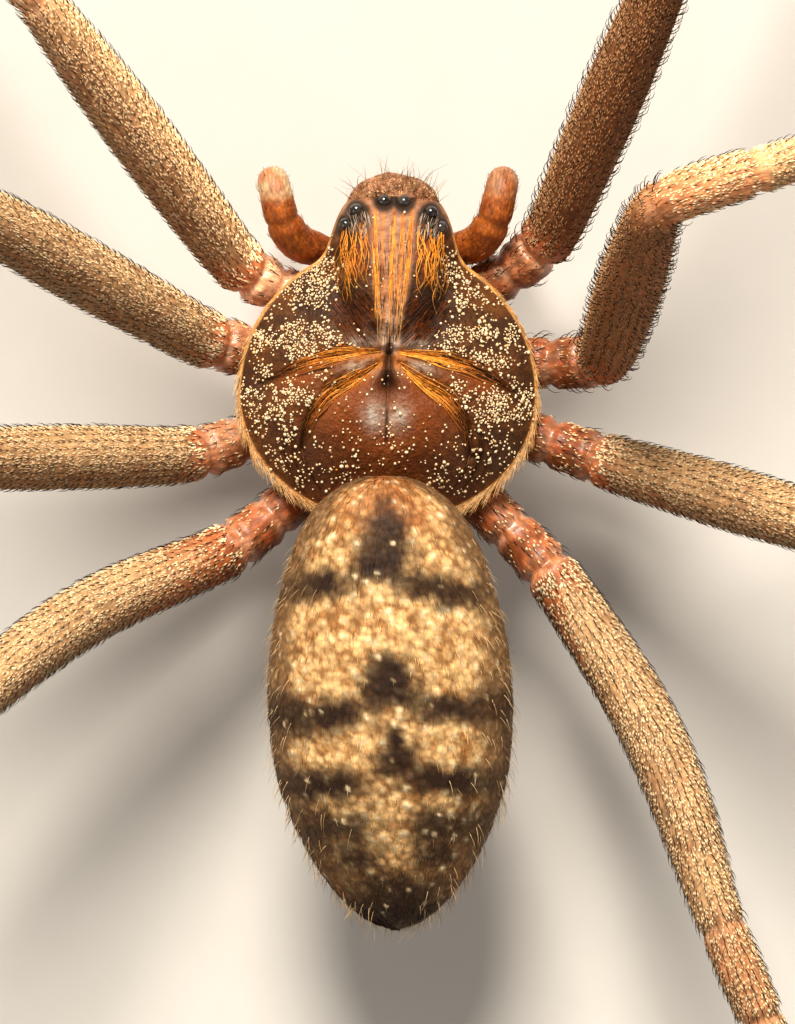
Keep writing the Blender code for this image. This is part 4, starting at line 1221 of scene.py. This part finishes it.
def add_leg_scales(meshes, limb, number):
    """Add a leg's scales: pale and pointed, lying flat between the bristles."""
    trochanter, base, knee, shin = limb.joints[:4]
    length, angle = scattered(limb, 0.044, 0.032, 0.3, limb.line.length - 0.12, 0.9)
    bare = np.maximum.reduce([0.9 * bell(length - joint, 0.12) for joint in (trochanter, base)]
                             + [0.6 * bell(length - joint, 0.15) for joint in (knee, shin)])
    speckled, rear = bell(length - base - 0.25, 0.16), limb.rear(length, angle)
    red = smooth(base + 0.9 * mix(*limb.look.red_reach, rear), base + 0.3, length)
    cover = (1.22 - limb.look.scales_lost * red) * (1 - bare) + 0.3 * speckled
    # Painted shade: fewer pale scales on the rear side, away from the key light, and on the underside
    cover = cover * (1.0 - 0.38 * rear)
    cover = cover * np.where(length < base, 0.35, 1.0) * (1.0 - 0.5 * smooth(0.0, -0.7, np.sin(angle)))
    roots = limb.point(length, angle)
    streaks = noise(stack(length * 0.28, angle * 0.32, 0.0 * length), 0.09, 91 + number)
    cover = cover * np.clip(0.84 + 0.9 * streaks + 0.3 * noise(roots, 0.4, 92), 0.1, 1.25)
    keep = chance(len(length)) < cover
    length, angle, speckled, roots, rear = (values[keep] for values in (length, angle, speckled, roots, rear))
    count, along, out = len(length), limb.frame(length)[0], limb.normal(length, angle)
    beside = np.cross(out, along)
    lean = normal(0, 0.22, (count, 1))
    along, beside = unit(along + lean * beside), unit(beside - lean * along)
    tint = mix(SCALE_TAN, SCALE_PALE, np.clip(chance(count) + 0.7 * speckled, 0, 1.3))
    # Painted light and shade: scales darker on the rear side and brighter in front, towards the key light
    tint = mix(tint, LEG_DARK_AND_SHADE, 0.4 * rear) * (1.0 + 0.18 * (1.0 - rear[:, None])) * limb.look.tone
    tint = mix(tint, SCALE_BROWN, np.where(limb.look.upright & (length < knee), 0.66, 0.0))
    long = uniform(0.050, 0.095, count)
    wide = uniform(0.011, 0.018, count) * (1 + 0.2 * speckled)
    for mesh, values in dealt(meshes, roots - out * 0.002, along, beside, out, long, wide,
                              limb.spot(length, angle), tint):
        add_scales(mesh, *values)


# -------------------- the coat of the front body
LOBES = (  # where the grains lie: x and y of the middle, half width, half length and how thick
    (1.02, 1.36, 0.42, 0.52, 1.3), (1.26, 0.58, 0.58, 0.30, 1.5), (1.40, -0.16, 0.52, 0.32, 1.5),
    (1.35, -0.80, 0.45, 0.45, 0.45), (0.75, -1.20, 0.50, 0.40, 0.30), (0.0, -0.72, 0.60, 0.26, 0.17),
)
GRAIN_STEP = 0.032
LOCKS = ((0.62, 2.00, 15, 0.85), (0.50, 1.95, 13, 0.8),     # x and y, how many hairs and how long
         (0.38, 1.98, 12, 0.7), (0.56, 1.66, 10, 0.55))
BAND_HAIRS = ((-0.25, 22), (-0.22, 18), (-0.01, 14), (0.02, 12), (0.13, 12), (0.235, 22))  # x and how many


def granule_cover(x, y):
    """Return how thickly the grains lie at places of the plate."""
    share, side = carapace_share(x, y)[0], np.abs(x)
    cover = 0.10 + 0.0 * x
    for lobe_x, lobe_y, half_width, half_length, thick in LOBES:
        away = np.hypot((side - lobe_x) / half_width, (y - lobe_y) / half_length)
        cover = np.maximum(cover, thick * np.exp(-0.8 * away ** 3))
    crease, travelled = furrow(x, y, HOLLOW_EDGE, 0.11)
    hollow = crease * (1 - 0.5 * travelled)
    for number, width in ((HOLLOW, 0.26), (FRONT_FURROW, 0.08), (REAR_FURROW, 0.07)):
        hollow = np.maximum(hollow, furrow(x, y, number, width)[0])
    cover = cover * (1.0 - 0.95 * hollow) * (1.0 - 0.9 * bell(side, 0.42) * smooth(0.0, 0.3, y))
    cover = cover * smooth(1.02, 0.94, share) * (1.0 - 0.85 * smooth(1.75, 2.0, y))
    return cover * (1.0 - 0.85 * bell(side - 0.47, 0.22) * smooth(1.0, 1.2, y))


def face_ways(count, low, high):
    """Return ways out of the head's front at random tilts from the upright, and their map places."""
    spin, tilt = uniform(0.05, pi - 0.05, count), uniform(low, high, count)
    out = stack(np.sin(tilt) * np.cos(spin), np.sin(tilt) * np.sin(spin), np.cos(tilt))
    return out, atlas("small_9", 1.0 - tilt / pi, spin / (2 * pi))


def add_grains(mesh):
    """Add the cream grains of the carapace, thick on its lobes, and those of the face."""
    x, y = np.meshgrid(np.arange(-2.0, 2.0, GRAIN_STEP), np.arange(-1.9, 2.6, GRAIN_STEP))
    x = x + 0.5 * GRAIN_STEP * (np.arange(len(x))[:, None] % 2)
    x, y = (value.ravel() + uniform(-0.42, 0.42, value.size) * GRAIN_STEP for value in (x, y))
    clump = 0.72 + 0.8 * noise(plan(x, y), 0.18, 81) + 0.7 * noise(plan(x, y), 0.07, 82)
    keep = carapace_share(x, y)[0] < 0.985
    keep &= chance(len(x)) < granule_cover(x, y) * np.clip(clump, 0.02, 1.2)
    x, y = x[keep], y[keep]
    count = len(x)
    size = 0.0092 + 0.0075 * chance(count) + 0.014 * chance(count) ** 6
    out = carapace_normal(x, y)
    centres = turned(stack(x, y, carapace_skin(x, y)) + out * (size * 0.45)[:, None])
    tint = shades(CREAM, PALE_TAN, count)
    tint = mix(tint, GREY_TAN, 0.7 * (chance(count) > 0.8))
    tint = np.where((chance(count) > 0.992)[:, None], ORANGE, tint)
    add_granules(mesh, centres, turned(out), size, carapace_map(x, y), tint)
    count = 300
    out, spots = face_ways(count, 0.15, 1.5)
    add_granules(mesh, face_point(out), turned(out), uniform(0.007, 0.013, count), spots,
                 shades(PALE_TAN, PINK, count))


def add_plate_paths(mesh, x, y, lift, radii, tint):
    """Add hairs along rows of places on the plate, lifted off it."""
    paths = turned(stack(x, y, carapace_skin(x, y) + lift))
    x, y = x[:, 0], y[:, 0]
    add_paths(mesh, paths, turned(carapace_normal(x, y)), radii, carapace_map(x, y), tint, 0.25)


def add_plate_hairs(mesh, x, y, drift, lengths, radii, tint, lift=0.03, wave=0.0, steps=6):
    """Add hairs that lie backwards on the plate, each with its drift to the side."""
    count = len(x)
    share = stations(steps)
    size = np.hypot(drift, 1.0)
    way_x, way_y, lengths = (drift / size)[:, None], (-1.0 / size)[:, None], lengths[:, None]
    swing = lengths * wave * share * np.sin(uniform(0, 2 * pi, (count, 1)) + 5.5 * share)
    arch = lift * np.sin(0.15 + 2.6 * share) * uniform(0.5, 1.5, (count, 1))
    add_plate_paths(mesh, x[:, None] + lengths * share * way_x + swing * way_y,
                    y[:, None] + lengths * share * way_y - swing * way_x, arch, radii, tint)


def add_bundles(mesh, sign):
    """Add the orange bundles beside the head's middle band, in wavy locks."""
    for lock_x, lock_y, count, reach in LOCKS:
        x = sign * (lock_x + normal(0, 0.028, count))
        y = lock_y + uniform(-0.24, 0.12, count)
        lean = sign * 0.2 * (lock_x - 0.46) + normal(0, 0.15, count)
        add_plate_hairs(mesh, x, y, lean, uniform(0.45, 1.0, count) * reach,
                        uniform(0.0045, 0.0075, count), shades(ORANGE, LIGHT_ORANGE, count),
                        0.07, 0.13, 9)


def add_furrow_hairs(mesh, sign):
    """Add the orange hairs that follow the furrows, with dark ones further out."""
    share = stations(8)
    for number, count in ((FRONT_FURROW, 100), (REAR_FURROW, 105)):
        course = Centreline([(x, y, 0.0) for x, y in FURROWS[number][2]], (0.5,) * 4)
        begin = (uniform(-0.03, 0.62, count) * course.length)[:, None]
        span = uniform(0.35, 0.75, (count, 1))
        at = np.clip(begin + span * share, 0.0, course.length)
        spread = normal(0, 0.040, (count, 1)) * (0.30 + np.sin(np.clip(at / course.length, 0, 1) * pi))
        spread = spread + 0.020 * share * np.sin(uniform(0, 2 * pi, (count, 1)) + 6.0 * share)
        middle, way = course.point(at), course.tangent(at)
        x = sign * (middle[..., 0] - way[..., 1] * spread)
        y = middle[..., 1] + way[..., 0] * spread
        from_pit = begin[:, 0] / course.length
        dark = chance(count) < 0.18 + 0.75 * smooth(0.42, 0.6, from_pit)
        worn = mix(shades(ORANGE, LIGHT_ORANGE, count), RUST, 0.85 * smooth(0.15, 0.6, from_pit))
        add_plate_paths(mesh, x, y, 0.012 + 0.012 * np.sin(share * pi), uniform(0.004, 0.0065, count),
                        np.where(dark[:, None], DEEP_BROWN, worn))


def add_dark_hairs(mesh, sign):
    """Add the curved lines over the rear, and the fine hairs of the hollows."""
    share = stations(8)
    for shift, count in ((0.0, 20), (0.13, 16), (0.25, 10)):
        jitter = normal(0, 0.02, (count, 1))
        at = uniform(0, 0.5, (count, 1)) + 0.5 * share
        x = sign * (1.05 + shift + jitter + 0.10 * np.sin(at * pi) - 0.25 * at ** 2)
        add_plate_paths(mesh, x, -0.50 - 0.95 * at + jitter, 0.006, 0.004, shades(BLACK_BROWN, BROWN, count))
    x, y = sign * uniform(0.22, 0.80, 260), uniform(0.62, 1.22, 260)
    keep = furrow(x, y, HOLLOW, 0.26)[0] > 0.3
    x, y = x[keep], y[keep]
    count = len(x)
    add_plate_hairs(mesh, x, y, -sign * (0.75 + normal(0, 0.15, count)), uniform(0.12, 0.28, count),
                    0.0038, shades(BLACK_BROWN, RED_BROWN, count, 2.0), 0.012, 0.04)


def add_eye_hairs(mesh, sign, count=46):
    """Add the grey hairs over the side eyes."""
    x, y = sign * (0.40 + uniform(-0.06, 0.22, count)), uniform(2.02, 2.28, count)
    add_plate_hairs(mesh, x, y, sign * normal(-0.25, 0.25, count), uniform(0.10, 0.24, count),
                    0.0045, shades(GREY_WHITE, DUSK_TAN, count), 0.05, 0.05)


def add_band_hairs(mesh, count=70):
    """Add the orange hair lines of the middle band, and its dark bristles."""
    for line_x, number in BAND_HAIRS:
        y = uniform(0.85, 2.28, number)
        x = line_x * band_share(y) + normal(0, 0.012, number)
        add_plate_hairs(mesh, x, y, -line_x * 0.33 + normal(0, 0.025, number),
                        np.minimum(uniform(0.35, 0.8, number), y - 0.5),
                        uniform(0.0045, 0.007, number),
                        mix(shades(ORANGE, LIGHT_ORANGE, number), GREY_TAN, 0.7 * smooth(1.5, 1.0, y)),
                        0.016, 0.02, 8)
    x, y = uniform(-0.27, 0.27, count), 2.2 - 1.6 * chance(count) ** 0.6
    add_plate_hairs(mesh, x * band_share(y), y, normal(0, 0.06, count), uniform(0.09, 0.22, count),
                    0.005, shades(BLACK_BROWN, DEEP_BROWN, count), 0.02)


def add_face_hairs(mesh, count=130):
    """Add the grey and dark arched hairs of the face."""
    out, spots = face_ways(count, 0.25, 1.35)
    roots, out = face_point(out, 0.01), turned(out)
    first = unit(out * 0.7 + np.array([0.0, 0.5, 0.35]) + normal(0, 0.25, (count, 3)))
    second = stack(normal(0, 0.45, count), uniform(-0.1, 0.3, count), uniform(-0.9, -0.4, count))
    add_strands(mesh, roots, first, second, out, uniform(0.14, 0.36, count), 0.0042, spots,
                shades(BLACK_BROWN, GREY_TAN, count, 2.0), 7, 0.03)


def add_fringe(mesh, count=1500):
    """Add the fringe of the margin: tan hairs, swept back along it."""
    turn = uniform(0.55, pi - 0.15, count) * np.where(chance(count) < 0.5, -1, 1)
    back = smooth(0.9, 2.3, np.abs(turn))
    keep = chance(count) < 0.42 + 0.58 * back
    turn, back = turn[keep][:, None], back[keep][:, None]
    share = stations(7)
    span = (0.08 + 0.13 * back) * uniform(0.6, 1.2, turn.shape)
    at = turn + np.sign(turn) * span * share
    spread = (0.035 + 0.17 * back * uniform(0.1, 1.0, turn.shape)) * share ** 1.2
    reach = carapace_radius(at) * uniform(0.965, 0.998, turn.shape) + spread
    flat = on_disc(reach, at, MARGIN_Z + 0.01 + 0.10 * share * uniform(-0.3, 1.0, turn.shape))
    spots = carapace_map(flat[:, 0, 0], flat[:, 0, 1])
    add_paths(mesh, turned(flat), np.broadcast_to(UP, (len(flat), 3)), 0.0045, spots,
              shades(RIM_TAN, PALE_TAN, len(flat)), 0.2)


# -------------------- the other hairs and the claws
def abdomen_roots(share, angle):
    """Return roots of hairs on the abdomen, ways back along it and out of its middle, and map places."""
    roots = abdomen_point(share, angle)
    ahead = unit(abdomen_point(np.minimum(share + 0.01, 1.0), angle) - roots)
    spots = atlas("abdomen", ((angle + pi / 2) / (2 * pi)) % 1.0, share)
    return roots, ahead, roots - abdomen_middle(share), spots


def add_fur(meshes, count=9000):
    """Add the short hairs of the abdomen, in the colours of its markings."""
    share = 0.5 - 0.5 * np.cos(pi * uniform(0.03, 0.985, count))
    angle = uniform(-pi, pi, count)
    roots, ahead, away, spots = abdomen_roots(share, angle)
    beside = unit(abdomen_point(share, angle + 0.05) - roots)
    out = unit(np.cross(beside, ahead))
    out = out * np.sign((out * away).sum(-1, keepdims=True))
    shade = abdomen_tint(roots, angle) * uniform(0.6, 1.25, (count, 1))
    raised = uniform(0.25, 0.55, (count, 1))
    first = unit(ahead + out * raised + beside * normal(0, 0.15, (count, 1)))
    size = uniform(0.08, 0.17, count)
    for mesh, values in dealt(meshes, roots, first, -out * raised * 0.55, out, size,
                              np.full(count, 0.0045), spots, shade):
        add_strands(mesh, *values)


def add_long_hairs(mesh, count=700):
    """Add longer pale hairs that stand out from the abdomen's flanks and rear."""
    share = 1.0 - 0.85 * uniform(0.02, 1, count) ** 1.4
    angle = normal(0.0, 0.45, count) + pi * (chance(count) < 0.5)
    roots, ahead, away, spots = abdomen_roots(share, angle)
    out = unit(away)
    first = unit(ahead * 0.9 + out * uniform(0.5, 1.0, (count, 1)) + normal(0, 0.15, (count, 3)))
    add_strands(mesh, roots, first, -out * 0.25, out, uniform(0.16, 0.36, count), 0.0042, spots,
                shades(PALE_TAN, DUSK_TAN, count, 1.5), 4)


def add_limb_hairs(mesh, limb, spacing):
    """Add the hairs of a palp, a chelicera or a spinneret."""
    length, angle = scattered(limb, spacing, spacing, 0.12, limb.line.length - 0.03)
    out = limb.normal(length, angle)
    shade = shades(PALP_HAIR, GREY_TAN, len(length), 2.0)
    first = unit(limb.frame(length)[0] + out * 0.7)
    add_strands(mesh, limb.point(length, angle) - out * 0.01, first, -out * 0.4, out,
                uniform(0.10, 0.20, len(length)), 0.0048, limb.spot(length, angle), shade)


def add_foot_claws(mesh, limb):
    """Add the two small hooks of a foot."""
    length = np.full(2, limb.line.length - 0.06)
    along, side, rise = limb.frame(length)
    spread = np.array([[-1.0], [1.0]])
    roots = limb.line.point(length) + side * spread * 0.035
    first = along + rise * 0.35 + side * spread * 0.25
    spots = limb.spot(length, np.zeros(2))
    add_strands(mesh, roots, first, -rise * 0.75, rise, 0.17, 0.022, spots, BLACK_BROWN, 6)


def add_fang(mesh, limb):
    """Add the fang at the end of a chelicera."""
    root = limb.line.point(np.array([limb.line.length - 0.05]))
    inward = np.array([[-np.sign(root[0, 0]), 0.0, 0.0]])
    first, ups = np.array([[0.0, 0.15, -1.0]]), np.array([[0.0, 1.0, 0.0]])
    spot = limb.spot(np.array([limb.line.length]), np.zeros(1))
    add_strands(mesh, root, first, inward * 0.8 - 0.2 * UP, ups, 0.20, 0.032, spot, BLACK_BROWN, 6)


# -------------------- build the coat; draws keep this order
bristles, scales, fur = ([Mesh() for part in range(parts)] for parts in (4, 4, 2))
grains, hairs, claws = Mesh(), Mesh(), Mesh()
for number, limb in enumerate(legs):
    add_leg_bristles(bristles, limb)
    add_leg_scales(scales, limb, number)
add_grains(grains)
for sign in (-1.0, 1.0):
    add_bundles(hairs, sign)
    add_furrow_hairs(hairs, sign)
    add_dark_hairs(hairs, sign)
    add_eye_hairs(hairs, sign)
add_band_hairs(hairs)
add_face_hairs(hairs)
add_fringe(hairs)
add_fur(fur)
add_long_hairs(fur[0])
for name, limb in small_limbs:
    if name not in ("pedicel", "maxilla"):
        add_limb_hairs(hairs, limb, 0.13 if name == "palp" else 0.085)
for limb in legs:
    add_foot_claws(claws, limb)
for name, limb in small_limbs:
    if name == "chelicera":
        add_fang(claws, limb)

hair_look = hair_material("body hair", 0.4)
for title, meshes, material, slot in (("leg_bristles", bristles, hair_material("leg bristle", 0.45), "limb"),
                                      ("leg_scales", scales, hair_material("pale scale", 0.5, 0.2), "limb"),
                                      ("abdomen_hairs", fur, hair_look, "abdomen")):
    for number, mesh in enumerate(meshes):
        mesh.object(f"{title}_{number + 1}", material, slot)
grains.object("carapace_grains", hair_material("carapace grain", 0.6, 0.15), "carapace")
hairs.object("carapace_hairs", hair_look, "carapace")
claws.object("foot_claws", hair_material("claw", 0.25), "joint")

# -------------------- floor, lights and camera
FLOOR_REACH = 1.2
corners = [(x * FLOOR_REACH, y * FLOOR_REACH, 0) for x, y in ((-1, -1), (1, -1), (1, 1), (-1, 1))]
floor_mesh = bpy.data.meshes.new("floor")
floor_mesh.from_pydata(corners, [], [(0, 1, 2, 3)])
floor_mesh.materials.append(floor_material())
floor = bpy.data.objects.new("floor", floor_mesh)
scene.collection.objects.link(floor)


def add_light(name, place, size, watts, tone):
    """Add a soft area light that looks at the middle."""
    data = bpy.data.lights.new(name, "AREA")
    data.shape, data.size, data.energy, data.color = "DISK", size, watts, tone
    made = bpy.data.objects.new(name, data)
    made.location = place
    made.rotation_euler = (-Vector(place)).to_track_quat("-Z", "Y").to_euler()
    made.visible_camera = False
    scene.collection.objects.link(made)


add_light("key", (-0.02, 0.16, 0.17), 0.09, 1.15, (1.0, 0.93, 0.84))
add_light("fill left", (-0.22, -0.04, 0.16), 0.20, 0.20, (1.0, 0.95, 0.90))
add_light("fill right", (0.22, -0.10, 0.18), 0.20, 0.18, (1.0, 0.97, 0.94))
world = bpy.data.worlds.new("studio")
world.use_nodes = True
sky = world.node_tree.nodes["Background"].inputs
sky["Color"].default_value, sky["Strength"].default_value = (0.80, 0.76, 0.70, 1.0), 0.25
scene.world = world

# The photograph is 795 by 1024 pixels, with the middle of the carapace at 388, 385
PIXEL = 0.0131 * METRES
PICTURE_HEIGHT, PICTURE_MIDDLE, CARAPACE_AT = 1024, (397.5, 512), (388, 385)
CAMERA_HEIGHT, SUBJECT_HEIGHT, SENSOR = 0.15, 0.003, 36.0
camera_data = bpy.data.cameras.new("camera")
camera_data.sensor_width = SENSOR
camera_data.lens = SENSOR / (PICTURE_HEIGHT * PIXEL) * (CAMERA_HEIGHT - SUBJECT_HEIGHT)
camera_data.clip_start = 0.001
camera = bpy.data.objects.new("camera", camera_data)
camera.location = (OFFSET[0] + (PICTURE_MIDDLE[0] - CARAPACE_AT[0]) * PIXEL,
                   OFFSET[1] + (CARAPACE_AT[1] - PICTURE_MIDDLE[1]) * PIXEL, CAMERA_HEIGHT)
scene.collection.objects.link(camera)
scene.camera = camera
scene.view_settings.view_transform = "Standard"
